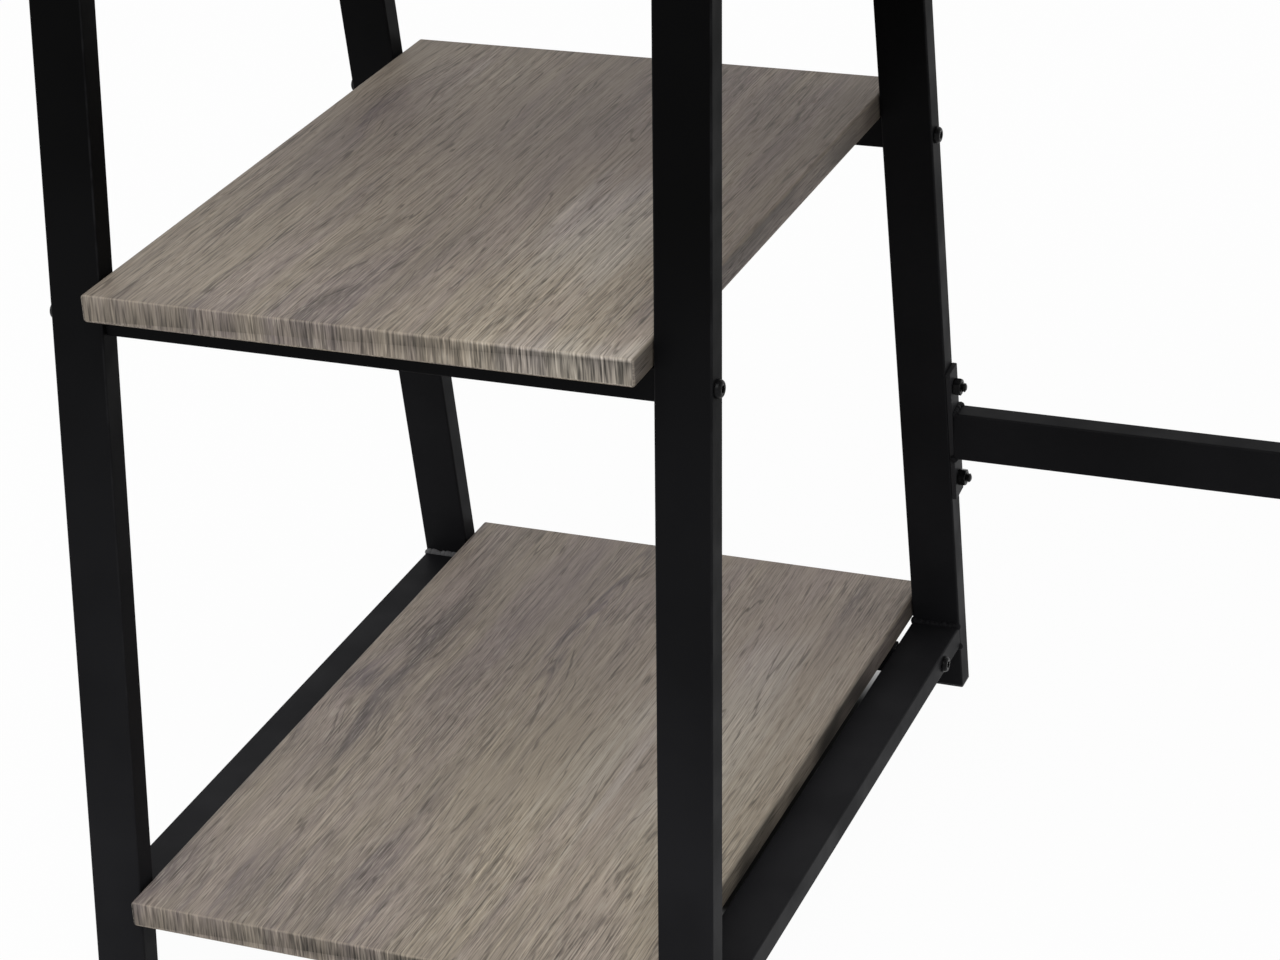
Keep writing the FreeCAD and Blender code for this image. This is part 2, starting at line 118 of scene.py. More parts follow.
# Where each board's foil starts in the noise
FOIL_START = {"upper_shelf": 0.0, "lower_shelf": 1.3, "desktop": 3.0}
# Bends of the grain round its figure: place across and along, half width, half length, reach
FOIL_FIGURES = {
    "upper_shelf": (
        (-0.036, -0.190, 0.022, 0.080, 0.016),
        (0.015, 0.060, 0.030, 0.140, 0.018),
        (-0.126, 0.105, 0.020, 0.060, 0.016),
    ),
    "lower_shelf": (
        (-0.152, 0.006, 0.055, 0.050, 0.014),
        (-0.030, 0.120, 0.022, 0.120, 0.016),
        (0.086, -0.150, 0.020, 0.120, 0.014),
    ),
    "desktop": (
        (0.050, 0.250, 0.032, 0.200, 0.024),
        (-0.090, -0.300, 0.028, 0.170, 0.022),
    ),
}
# Darker patches of the grain's figure, and painted highlights and shade, lighter where the depth is
# negative:
# place across and along, half width, half length, depth
FOIL_SHADES_AND_PAINTED_LIGHT = {
    "upper_shelf": (
        (-0.022, -0.185, 0.008, 0.045, 0.45),
        (-0.128, 0.096, 0.009, 0.040, 0.60),
        (0.014, 0.010, 0.022, 0.160, 0.40),
        # From here to the end of this board's list: painted highlights and painted shade
        (0.085, -0.050, 0.050, 0.120, -2.30),
        (-0.100, 0.160, 0.070, 0.060, -1.00),
        (-0.030, 0.000, 0.090, 0.100, -0.50),
        (0.135, -0.240, 0.070, 0.050, -2.40),
        (-0.120, -0.230, 0.090, 0.040, 0.45),
    ),
    "lower_shelf": (
        (-0.124, 0.080, 0.008, 0.075, 0.95),
        (-0.121, -0.045, 0.010, 0.060, 1.00),
        (-0.140, 0.022, 0.012, 0.018, 0.90),
        (0.086, -0.165, 0.005, 0.085, 0.55),
        # From here to the end of this board's list: painted highlights and painted shade
        (0.090, 0.020, 0.080, 0.210, -1.50),
        (-0.120, -0.220, 0.090, 0.050, 0.50),
        (0.000, -0.170, 0.060, 0.060, 0.50),
        (0.120, 0.200, 0.060, 0.050, 0.50),
    ),
    "desktop": (
        (0.060, 0.200, 0.014, 0.160, 0.50),
        (-0.100, -0.340, 0.012, 0.140, 0.50),
    ),
}
# Nested arches in the grain: place across, tip along the grain, half width, length, depth
FOIL_ARCHES = {
    "upper_shelf": ((-0.118, 0.150, 0.016, 0.110, 0.50),),
    "lower_shelf": ((-0.032, 0.235, 0.013, 0.130, 1.40),),
    "desktop": ((0.050, 0.420, 0.024, 0.240, 0.80), (-0.160, -0.020, 0.018, 0.180, 0.70)),
}
# Dark seams, sharp on one side: place across and along, lean, half length, width, depth
FOIL_SEAMS = {
    "upper_shelf": (
        (-0.0265, -0.178, 0.37, 0.045, 0.0024, 0.55),
        (-0.0265, -0.185, 0.37, 0.036, 0.0130, 0.30),
        (0.012, -0.205, 0.16, 0.030, 0.004, 0.28),
        (0.060, -0.195, 0.10, 0.035, 0.004, 0.26),
    ),
    "lower_shelf": (
        (0.084, -0.170, 0.04, 0.060, 0.003, 0.50),
        (-0.040, 0.105, -0.06, 0.060, 0.003, 0.40),
        (-0.124, 0.060, 0.08, 0.060, 0.008, 0.30),
        (-0.122, -0.050, -0.05, 0.050, 0.008, 0.28),
    ),
    "desktop": ((0.060, 0.200, 0.06, 0.110, 0.008, 0.32), (-0.100, -0.340, -0.05, 0.100, 0.008, 0.32)),
}
# Roughest patches of the grain: place across and along, half width, half length, strength
FOIL_ROUGH = {
    "upper_shelf": ((0.110, -0.170, 0.075, 0.110, 0.60), (-0.060, -0.160, 0.080, 0.060, 0.20)),
    "lower_shelf": ((0.060, -0.200, 0.110, 0.120, 0.40), (-0.110, 0.020, 0.060, 0.120, 0.30)),
    "desktop": ((0.080, 0.220, 0.100, 0.200, 0.50), (-0.100, -0.300, 0.090, 0.220, 0.50)),
}
# Cool patches of the foil: place across and along, half width, half length, strength
FOIL_COOL = {
    "upper_shelf": ((0.000, 0.080, 0.260, 0.170, 0.75),),
    "lower_shelf": ((0.060, 0.160, 0.200, 0.130, 0.75), (-0.140, 0.000, 0.050, 0.090, 0.40)),
    "desktop": ((-0.050, 0.150, 0.120, 0.280, 0.50), (0.120, -0.380, 0.100, 0.200, 0.50)),
}
# How dark the painted shade is down the sides of each board
FOIL_SIDE_SHADE = {"upper_shelf": 0.66, "lower_shelf": 0.93, "desktop": 0.45}


# Settings that a user would change
def length_property(name, description, default, low, high):
    """Length with its limits, given in millimetres."""
    return bpy.props.FloatProperty(
        name=name, description=description, unit="LENGTH",
        default=default * MM, min=low * MM, max=high * MM)


def colour_property(name, description, *parts, high=1.0):
    """Opaque colour from its red, green and blue parts."""
    return bpy.props.FloatVectorProperty(
        name=name, description=description, subtype="COLOR", size=4,
        default=(*parts, 1.0), min=0.0, max=high)


def power_property(name, description, default):
    """Power of a light in watts."""
    return bpy.props.FloatProperty(
        name=name, description=description, unit="POWER", default=default, min=0.0, max=1000.0)


class DeskBoardSettings(bpy.types.PropertyGroup):
    """Edges and foil of the boards."""
    side_round: length_property("Side rounding", "Radius of the long edges at the board's sides", 2, 0.2, 5)
    end_round: length_property(
        "End rounding", "Radius of the edges at the board's front and back", 1, 0.1, 4)
    emboss: length_property("Emboss depth", "Depth of the pores pressed into the foil", 0.10, 0, 1)
    pale: colour_property("Pale fibres", "Colour of the palest fibres in the foil", 0.440, 0.395, 0.330)
    light: colour_property("Light grain", "Lightest tone of the foil", 0.328, 0.280, 0.218)
    middle: colour_property("Middle grain", "Middle tone of the foil", 0.266, 0.226, 0.184)
    shade: colour_property("Shaded grain", "Cool tone of the darker bands", 0.172, 0.146, 0.131)
    cool: colour_property(
        "Cool tint", "Tint of the purplish patches, which multiplies the grain's colour",
        1.01, 0.99, 1.10, high=2.0)
    pore: colour_property("Pores", "Colour in the pressed pores", 0.066, 0.054, 0.046)


class DeskTubeSettings(bpy.types.PropertyGroup):
    """Tubes, flange plates and welds."""
    depth: length_property("Tube depth", "Narrow side of the leg tube", 15.5, 5, 40)
    corner: length_property("Tube corner", "Corner radius of the frame tubes", 1.2, 0.2, 5)
    wall: length_property("Tube wall", "Wall of the frame tubes", 1.2, 0.5, 3)
    rail_corner: length_property(
        "Rail corner", "Corner radius of the small rails under the shelves", 0.9, 0.2, 4)
    rail_wall: length_property("Rail wall", "Wall of the small rails under the shelves", 1, 0.3, 3)
    access: length_property(
        "Access hole", "Hole in the underside of a shelf rail that lets a screw head in", 7.7, 3, 12)
    bead: length_property("Weld bead", "Half width of a weld bead", 3, 0.5, 6)
    bead_step: length_property("Weld ripple", "Distance between the ripples of a weld", 1.5, 0.5, 6)
    coat: colour_property("Powder coat", "Colour of the powder coat", 0.0050, 0.0050, 0.0056)
    # Painted light: the flange plates take this lighter colour whole, and the coat's corners take it partly
    # as a painted highlight
    worn_and_lit: colour_property(
        "Rubbed corner", "Colour of the flange plates, and of the coat where corners are rubbed",
        0.014, 0.014, 0.015)
    # Painted light: a lighter copy of the coat for the left frame's welds, for the light they catch
    weld: colour_property(
        "Weld coat", "Colour of the thin coat over the left frame's welds", 0.060, 0.060, 0.062)


class DeskFastenerSettings(bpy.types.PropertyGroup):
    """Bolts, studs, nuts, screws and plastic feet."""
    head_height: length_property("Rail bolt head", "Height of the domed heads of the rail bolts", 3.3, 1, 8)
    flange: length_property(
        "Stud flange", "Diameter of the flange that holds a stud inside its leg", 9, 6, 12)
    flange_height: length_property("Stud flange height", "Height of the flange of a stud", 1.5, 0.5, 4)
    tip: length_property("Stud tip", "Length of a stud that shows past its nut", 3, 0, 10)
    bite: length_property("Rail bolt bite", "Length of a rail bolt inside the end of its rail", 11, 4, 14)
    shank: length_property("Bolt diameter", "Outer diameter of the thread of bolts and studs", 6, 3, 12)
    pitch: length_property("Thread pitch", "Rise of the bolt thread in one turn", 1, 0.4, 2)
    socket: length_property("Socket width", "Hexagon socket across its flats", 4, 1.5, 8)
    nut_width: length_property("Nut width", "Nut across its flats", 10, 5, 20)
    nut_height: length_property("Nut height", "Height of the nuts", 5, 2, 10)
    screw_width: length_property("Screw head width", "Diameter of the heads of the wood screws", 7.4, 3, 12)
    screw_head: length_property("Screw head height", "Height of the heads of the wood screws", 2.5, 1, 6)
    screw: length_property("Screw diameter", "Diameter of the wood screws", 4, 2, 8)
    seed: bpy.props.IntProperty(
        name="Turn seed", description="Seed for how far each fastener is turned", default=4)
    oxide: colour_property("Black oxide", "Colour of the bolts, studs and nuts", 0.0035, 0.0035, 0.0038)
    zinc: colour_property("Zinc", "Colour of the screws and threaded plugs", 0.56, 0.56, 0.53)
    plastic: colour_property("Foot plastic", "Colour of the foot plugs", 0.012, 0.012, 0.012)


class DeskStageSettings(bpy.types.PropertyGroup):
    """Floor, light and camera."""
    ambient: bpy.props.FloatProperty(
        name="Room light", description="Strength of the even light from all round",
        default=0.70, min=0.0, max=3.0)
    key: power_property("Front light", "Power of the large soft light above the front", 46.0)
    side: power_property("Side light", "Power of the soft light at the right", 6.0)
    floor: colour_property("Floor", "Colour of the floor", 0.62, 0.62, 0.62)
    shadow: bpy.props.FloatProperty(
        name="Shadow", description="How much of the shadow the white floor keeps",
        default=0.03, min=0.0, max=1.0, subtype="FACTOR")
    dark: colour_property(
        "Deep shade", "Colour of the floor in the dark under the lower shelf", 0.040, 0.040, 0.040)
    lens: bpy.props.FloatProperty(
        name="Lens", description="Focal length of the camera in millimetres", unit="CAMERA",
        default=93.04, min=10.0, max=300.0)


# Node helpers
class Field:
    """Value in a node tree that adds, subtracts and multiplies as a number does."""

    def __init__(self, tree, socket):
        self.tree = tree
        self.socket = socket

    def calc(self, operation, *values):
        """Field of a Math node over numbers and fields."""
        node = add_node(self.tree, "ShaderNodeMath", dict(enumerate(values)), operation=operation)
        return Field(self.tree, node.outputs[0])

    def __add__(self, other):
        return self.calc("ADD", self, other)

    def __sub__(self, other):
        return self.calc("SUBTRACT", self, other)

    def __rsub__(self, other):
        return self.calc("SUBTRACT", other, self)

    def __mul__(self, other):
        return self.calc("MULTIPLY", self, other)

    def __truediv__(self, number):
        return self * (1 / number)

    def __abs__(self):
        return self.calc("ABSOLUTE", self)

    def squared(self):
        return self * self

    def fading(self):
        """One where the field is zero, and less and less where it grows."""
        return self.calc("EXPONENT", self * -1.0)

    def spread(self, low, high, to_low=0.0, to_high=1.0, kind="SMOOTHSTEP"):
        """Map one range to another, clamped, and smoothly unless another kind is named."""
        inputs = {0: self, 1: low, 2: high, 3: to_low, 4: to_high}
        node = add_node(self.tree, "ShaderNodeMapRange", inputs, interpolation_type=kind)
        return Field(self.tree, node.outputs[0])


def set_input(tree, socket, value):
    """Give an input a number or colour, or link a field or socket to it."""
    if isinstance(value, Field):
        value = value.socket
    if isinstance(value, bpy.types.NodeSocket):
        tree.links.new(value, socket)
    else:
        socket.default_value = value


def set_inputs(tree, node, values):
    """Give a node's inputs their values, by name or number."""
    for key, value in values.items():
        set_input(tree, node.inputs[key], value)


def add_node(tree, kind, inputs=None, **settings):
    """New node with its settings and inputs."""
    node = tree.nodes.new(kind)
    for name, value in settings.items():
        setattr(node, name, value)
    set_inputs(tree, node, inputs or {})
    return node


def blend_colour(tree, factor, first, second, kind="MIX"):
    """Output of a colour Mix node."""
    node = add_node(tree, "ShaderNodeMix", data_type="RGBA", blend_type=kind)
    values = {"Factor_Float": factor, "A_Color": first, "B_Color": second}
    for socket in node.inputs:
        if socket.identifier in values:
            set_input(tree, socket, values[socket.identifier])
    return next(socket for socket in node.outputs if socket.identifier == "Result_Color")


def scale_colour(colour, factor):
    """Colour times a field."""
    grey = add_node(factor.tree, "ShaderNodeCombineXYZ", {"X": factor, "Y": factor, "Z": factor})
    return blend_colour(factor.tree, 1.0, colour, grey.outputs[0], "MULTIPLY")


def speckle(tree, vector, scale, detail=2.0, rough=0.5):
    """Noise of the given scale at a place."""
    inputs = {"Vector": vector, "Scale": scale, "Detail": detail, "Roughness": rough}
    return Field(tree, add_node(tree, "ShaderNodeTexNoise", inputs).outputs["Fac"])


def weight(tree, name):
    """Named weight of a piece's points."""
    return Field(tree, add_node(tree, "ShaderNodeAttribute", attribute_name=name).outputs["Fac"])


def axes_of(tree, vector):
    """The three axes of a vector, each as a field."""
    node = add_node(tree, "ShaderNodeSeparateXYZ", {"Vector": vector})
    return [Field(tree, socket) for socket in node.outputs]


def own_place(tree):
    """The piece's own coordinates."""
    return add_node(tree, "ShaderNodeTexCoord").outputs["Object"]


def new_material(name, colour):
    """Material with its tree and shader, and the colour for the solid view."""
    material = bpy.data.materials.new(name)
    material.use_nodes = True
    material.diffuse_color = colour
    tree = material.node_tree
    return material, tree, tree.nodes["Principled BSDF"]


def add_bump(tree, shader, height, depth, strength):
    """Fine relief on a finish, from its height between nothing and one and its depth in metres."""
    inputs = {"Height": height, "Distance": depth, "Strength": strength}
    bump = add_node(tree, "ShaderNodeBump", inputs)
    set_inputs(tree, shader, {"Normal": bump.outputs["Normal"]})


# Wood foil
def drawn_noise(across, along, width, length, detail, start):
    """Noise drawn out along the grain: width and length of its marks in metres."""
    place = {"X": across / width, "Y": along / length, "Z": start}
    vector = add_node(across.tree, "ShaderNodeCombineXYZ", place).outputs[0]
    return speckle(across.tree, vector, 1.0, detail, GRAIN_ROUGHNESS)


def grain_marks(kind, board, across, along):
    """Noise for one kind of mark in a board's grain."""
    width, length, detail, start = GRAIN_MARKS[kind]
    return drawn_noise(across, along, width, length, detail, FOIL_START[board] + start)


def oval(across, along, spot):
    """Soft oval mark that fades from one at its middle to nothing."""
    place_u, place_v, half_width, half_length, _ = spot
    far = ((across - place_u) / half_width).squared() + ((along - place_v) / half_length).squared()
    return far.fading()


def add_ovals(field, spots, across, along, scale=1.0):
    """Field with soft ovals added, each as strong as its last number says."""
    for spot in spots:
        field = field + oval(across, along, spot) * (scale * spot[-1])
    return field


def arch(across, along, spot, start):
    """Nested arches that point along the grain, from minus one half to one half, fading outwards."""
    place_u, tip, half_width, length, _ = spot
    beside = ((across - place_u) / half_width).squared()
    behind = (tip - along) / length
    depth = behind - beside
    rings = drawn_noise(depth, along, *ARCH_RINGS, start) - 0.5
    near = (beside * ARCH_FADE).fading()
    inside = depth.spread(-0.25, 0.15) * behind.spread(2.0, 1.0)
    return rings * (near * inside)


def seam(across, along, spot):
    """Mark beside a slanted line: sharp along the line, and fading away from it and towards its ends."""
    place_u, place_v, lean, half_length, width, _ = spot
    run = along - place_v
    off = across - (run * lean + place_u)
    mark = off.spread(-SEAM_EDGE, SEAM_EDGE) * off.spread(width, 0.0)
    return mark * (run / half_length).squared().fading()


def foil_lines(board, across, along):
    """Place across the grain, bent so that the grain runs round the figure."""
    lines = across + grain_marks("sway", board, across, along) * SWAY_REACH
    lines = lines + grain_marks("wobble", board, across, along) * WOBBLE_REACH
    return add_ovals(lines, FOIL_FIGURES[board], across, along)


def foil_tone(board, across, along, lines):
    """Light and dark of the broad bands, streaks, patches and arches, the patches partly painted highlights
    and shade.
    """
    bands = grain_marks("bands", board, lines, along)
    streaks = grain_marks("streaks", board, lines, along)
    tone = bands * BAND_SHARE + streaks * (1.0 - BAND_SHARE)
    # Painted highlights and painted shade come in here with the grain's darker patches
    tone = add_ovals(tone, FOIL_SHADES_AND_PAINTED_LIGHT[board], across, along, -SHADE_DEPTH)
    for spot in FOIL_ARCHES[board]:
        tone = tone + arch(across, along, spot, FOIL_START[board]) * (ARCH_DEPTH * spot[-1])
    return tone


def foil_colour(board, across, along, lines, settings):
    """Colour of the foil: its printed tones with painted highlights and shade, cool patches and dark seams.
    """
    tree = lines.tree
    tone = foil_tone(board, across, along, lines)
    colour = settings.shade
    for low, high, shade in ((0.30, 0.50, settings.middle), (0.46, 0.68, settings.light),
                             (0.68, 1.00, settings.pale)):
        colour = blend_colour(tree, tone.spread(low, high), colour, shade)
    cool = grain_marks("hue", board, lines, along).spread(0.46, 0.66, 0.0, 0.60)
    cool = add_ovals(cool, FOIL_COOL[board], across, along)
    colour = blend_colour(tree, cool, colour, settings.cool, "MULTIPLY")
    ripple = grain_marks("ripple", board, across, along)
    bent = across + (ripple - 0.5) * RIPPLE_REACH
    for spot in FOIL_SEAMS[board]:
        colour = scale_colour(colour, seam(bent, along, spot) * -spot[-1] + 1.0)
    return colour


def driftwood(board, settings):
    """Grey-brown wood foil: printed bands and seams, and fibres and ticks pressed in nearly straight."""
    material, tree, shader = new_material(f"driftwood_{board}", settings.middle)
    grain = add_node(tree, "ShaderNodeUVMap", uv_map="grain")
    across, along, _ = axes_of(tree, grain.outputs[0])
    lines = foil_lines(board, across, along)
    pressing = across + (lines - across) * PRESSED_BEND
    colour = foil_colour(board, across, along, lines, settings)

    # Fibres, thin cracks and short ticks lie all over, and stand out more in some patches
    crowd = grain_marks("crowd", board, lines, along)
    strong = add_ovals(crowd.spread(0.36, 0.62, 0.55, 0.95), FOIL_ROUGH[board], across, along)
    fibres = grain_marks("fibres", board, pressing, along)
    colour = scale_colour(colour, (fibres - 0.5) * strong * FIBRE_DEPTH + 1.0)
    near = abs(grain_marks("waves", board, lines, along) - 0.5)
    broken = grain_marks("broken", board, lines, along)
    crack = near.spread(0.030, 0.008) * broken.spread(0.46, 0.60)
    colour = blend_colour(tree, crack * CRACK_DEPTH, colour, settings.pore)
    ticks = grain_marks("ticks", board, pressing, along)
    pressed = ticks.spread(0.55, 0.70) * strong
    raised = ticks.spread(0.45, 0.30) * strong
    colour = blend_colour(tree, pressed * TICK_DARK, colour, settings.pore)
    colour = blend_colour(tree, raised * TICK_PALE, colour, settings.pale)

    # Foil on the front and back edges is streaked, painted shade darkens it down the sides, and it is paler
    # along its folds
    slits = grain_marks("slits", board, pressing, along)
    streak = slits.spread(0.34, 0.66, -0.34, 0.24, "LINEAR") * strong * weight(tree, "end")
    side_shade = FOIL_SIDE_SHADE[board]
    streak = streak - weight(tree, "side") * crowd.spread(0.40, 0.60, side_shade, 0.6 * side_shade)
    colour = scale_colour(colour, streak + 1.0)
    fold = weight(tree, "edge") * slits.spread(0.35, 0.60, 0.05, 0.40, "LINEAR")
    set_inputs(tree, shader, {
        "Base Color": blend_colour(tree, fold, colour, settings.light),
        "Roughness": pressed * 0.12 + (fibres * 0.16 + 0.50),
        "Specular IOR Level": 0.25,
    })
    add_bump(tree, shader, fibres + raised * 0.5 - pressed, settings.emboss, 0.8)
    return material


# Finishes of metal and plastic
def clouded(noise, colour, factor, low=0.30):
    """Colour that noise lightens in places, up to a factor."""
    lighter = tuple(min(1.0, factor * part) for part in colour[:3]) + (1.0,)
    return blend_colour(noise.tree, noise.spread(low, 0.70), colour, lighter)


def powder_coat(name, settings, base, grit, rough_low, rough_high):
    """Satin black coat with fine grit, painted shade darker upwards than near the floor, and scuffed
    corners with a painted highlight.
    """
    cloud_scale, rub_and_sheen_scale, gloss_scale, grit_scale = 9.0, 55.0, 28.0, 1100.0
    material, tree, shader = new_material(name, base)
    place = own_place(tree)
    colour = clouded(speckle(tree, place, cloud_scale, 3.0), base, 1.45)
    height = axes_of(tree, place)[2]
    # Painted shade of the desktop above: the coat is darker upwards and lighter towards the floor
    colour = scale_colour(colour, height.spread(0.50, 0.02, 0.15, 2.2, "LINEAR"))
    # Corners lighter and glossier: partly wear, partly a painted highlight along the edges
    rub_and_sheen = weight(tree, "edge") * speckle(tree, place, rub_and_sheen_scale, 3.0).spread(0.35, 0.65, 0.25, 0.85)
    gloss = speckle(tree, place, gloss_scale, 3.0)
    set_inputs(tree, shader, {
        "Base Color": blend_colour(tree, rub_and_sheen, colour, settings.worn_and_lit),
        "Roughness": rub_and_sheen * -0.08 + gloss.spread(0.30, 0.70, rough_low, rough_high),
        "Specular IOR Level": 0.04,
    })
    add_bump(tree, shader, speckle(tree, place, grit_scale), grit, 0.5)
    return material


def mottled(name, base, factor, low, scale, fine_scale, roughness, specular, grit, strength, detail):
    """Even finish with faint lighter clouds, which are also duller, and a fine bump."""
    material, tree, shader = new_material(name, base)
    place = own_place(tree)
    cloud = speckle(tree, place, scale, detail)
    set_inputs(tree, shader, {
        "Base Color": clouded(cloud, base, factor, low),
        "Roughness": cloud.spread(0.30, 0.70, *roughness),
        "Specular IOR Level": specular,
    })
    add_bump(tree, shader, speckle(tree, place, fine_scale), grit, strength)
    return material


def black_oxide(settings):
    """Blackened steel with a faint mottle."""
    return mottled("black_oxide", settings.oxide, factor=2.0, low=0.35, scale=420.0, fine_scale=1600.0,
                   roughness=(0.22, 0.34), specular=0.09, grit=0.02 * MM, strength=0.4, detail=3.0)


def moulded_plastic(settings):
    """Matt moulded plastic with a spark-eroded grain."""
    return mottled("moulded_plastic", settings.plastic, factor=1.6, low=0.30, scale=60.0, fine_scale=1800.0,
                   roughness=(0.52, 0.68), specular=0.25, grit=0.03 * MM, strength=0.5, detail=2.0)


def zinc_plate(settings):
    """Bright zinc with soft spangle."""
    spangle_scale, gloss_scale = 700.0, 300.0
    material, tree, shader = new_material("zinc_plate", settings.zinc)
    place = own_place(tree)
    grains = add_node(tree, "ShaderNodeTexVoronoi", {"Vector": place, "Scale": spangle_scale})
    spangle = grains.outputs["Distance"]
    darker = tuple(0.72 * part for part in settings.zinc[:3]) + (1.0,)
    set_inputs(tree, shader, {
        "Base Color": blend_colour(tree, spangle, darker, settings.zinc),
        "Metallic": 1.0,
        "Roughness": speckle(tree, place, gloss_scale, 3.0).spread(0.30, 0.70, 0.26, 0.42),
    })
    add_bump(tree, shader, spangle, 0.02 * MM, 0.3)
    return material


def shared(name, make, *details):
    """The material of that name, made on first use."""
    return bpy.data.materials.get(name) or make(*details)


def tube_coat(settings):
    """The one coat of all tubes and of most welds."""
    return shared("powder_coat", powder_coat, "powder_coat", settings, settings.coat, *SATIN)


# Mesh helpers
def add_object(name, data):
    """New object in the scene."""
    item = bpy.data.objects.new(name, data)
    bpy.context.scene.collection.objects.link(item)
    return item


def made_mesh(item):
    """Mesh of an object as its modifiers make it."""
    bpy.context.view_layer.update()
    graph = bpy.context.evaluated_depsgraph_get()
    return bpy.data.meshes.new_from_object(item.evaluated_get(graph))


def paint(item, material):
    """Make the material the only one of an object."""
    item.data.materials.clear()
    item.data.materials.append(material)


def round_outline(half_a, half_b, radius, support):
    """Round-cornered rectangle from the middle of its lower side, anticlockwise.

    Each point is its place at zero radius, its outward direction and how far it is into a corner.
    """
    core_a, core_b = half_a - radius, half_b - radius
    points = [(0.0, -core_b, 0.0, -1.0, 0.0)]
    corners = ((core_a, -core_b, -90), (core_a, core_b, 0), (-core_a, core_b, 90), (-core_a, -core_b, 180))
    for a, b, first in corners:
        for step in range(-1, CORNER_STEPS + 2):
            share = min(max(step / CORNER_STEPS, 0.0), 1.0)
            angle = math.radians(first + 90 * share)
            out_a, out_b = math.cos(angle), math.sin(angle)
            back = support if step < 0 else -support if step > CORNER_STEPS else 0.0
            place_a = a + back * out_b
            place_b = b - back * out_a
            points.append((place_a, place_b, out_a, out_b, math.sin(math.pi * share)))
        if first == 0:
            points.append((0.0, core_b, 0.0, 1.0, 0.0))
    return points


def outline_points(outline, radius, inset=0.0):
    """Places of the outline's points at a radius, moved inwards by an inset."""
    reach = radius - inset
    return [(a + reach * u, b + reach * v) for a, b, u, v, _ in outline]


def add_faces(count, rings, loop):
    """Faces between rings that follow one another, closed to a loop or capped at both ends."""
    faces = []
    pairs = rings if loop else rings - 1
    for ring in range(pairs):
        low, high = ring * count, (ring + 1) % rings * count
        for step in range(count):
            after = (step + 1) % count
            faces.append((low + step, low + after, high + after, high + step))
    if not loop:
        faces.append(tuple(reversed(range(count))))
        faces.append(tuple(range((rings - 1) * count, rings * count)))
    return faces


def new_piece(name, rings, loop=False, smooth=PIECE_SMOOTH, **weights):
    """Closed mesh through rings of points, with named weights for them and outward faces."""
    count = len(rings[0])
    verts = [Vector(point) for ring in rings for point in ring]
    mesh = bpy.data.meshes.new(name)
    mesh.from_pydata(verts, [], add_faces(count, len(rings), loop))
    if signed_volume(mesh) < 0:
        mesh.flip_normals()
    for label, values in weights.items():
        layer = mesh.attributes.new(label, "FLOAT", "POINT")
        layer.data.foreach_set("value", [value for ring in values for value in ring])
    mesh.polygons.foreach_set("use_smooth", [True] * len(mesh.polygons))
    mesh.set_sharp_from_angle(angle=math.radians(smooth))
    mesh.update()
    return add_object(name, mesh)


def signed_volume(mesh):
    """Volume inside a mesh, below zero where its faces look inwards."""
    mesh.calc_loop_triangles()
    total = 0.0
    for triangle in mesh.loop_triangles:
        a, b, c = (mesh.vertices[index].co for index in triangle.vertices)
        total += a.dot(b.cross(c)) / 6
    return total


def settle(piece, slot, *nodes):
    """Ride on the desk and stand for the named parts of its frame."""
    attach(piece, BODY)
    if nodes:
        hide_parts(*nodes)


def turned_ring(level, radius):
    """Ring about the axis; radius is a number or a rule for each direction."""
    ring = []
    for step in range(TURN_STEPS):
        angle = math.tau * step / TURN_STEPS
        reach = radius(angle) if callable(radius) else radius
        ring.append((reach * math.cos(angle), reach * math.sin(angle), level))
    return ring


# Boards
def board_rings(low, high, side_round, end_round):
    """Rings of a board along Y, their place along the foil, and the weights of their points."""
    middle = (low + high) / 2
    half_a, half_b = (high.x - low.x) / 2, (high.z - low.z) / 2
    outline = round_outline(half_a, half_b, side_round, BOARD_LINE)
    # From an end inwards: distance from the end, inset, foil past the rounding, edge weight
    stations = []
    for step in range(CORNER_STEPS + 1):
        turn = math.pi / 2 * step / CORNER_STEPS
        stations.append((end_round * (1 - math.cos(turn)), end_round * (1 - math.sin(turn)),
                         -end_round * (math.pi / 2 - turn), math.sin(2 * turn)))
    stations.append((end_round + BOARD_LINE, 0.0, BOARD_LINE, 0.0))
    rings, lengths = [], []
    weights = {"edge": [], "end": [], "side": []}
    front = [(low.y + run, inset, low.y + end_round + foil, edge) for run, inset, foil, edge in stations]
    back = [(high.y - run, inset, high.y - end_round - foil, edge) for run, inset, foil, edge in stations]
    for y, inset, foil, edge in front + back[::-1]:
        points = outline_points(outline, side_round, inset)
        rings.append([(middle.x + a, y, middle.z + b) for a, b in points])
        lengths.append(foil)
        weights["edge"].append([max(edge, spot[4]) for spot in outline])
        weights["end"].append([inset / end_round] * len(outline))
        weights["side"].append([abs(spot[2]) for spot in outline])
    return outline, rings, lengths, weights


def foil_across(outline, radius):
    """Distance round the board from the middle of its top, for each outline point and its return."""
    points = outline_points(outline, radius)
    steps = [math.dist(points[i], points[(i + 1) % len(points)]) for i in range(len(points))]
    girth = sum(steps)
    walked = [0.0]
    for step in steps:
        walked.append(walked[-1] + step)
    return [girth / 2 - walk for walk in walked]


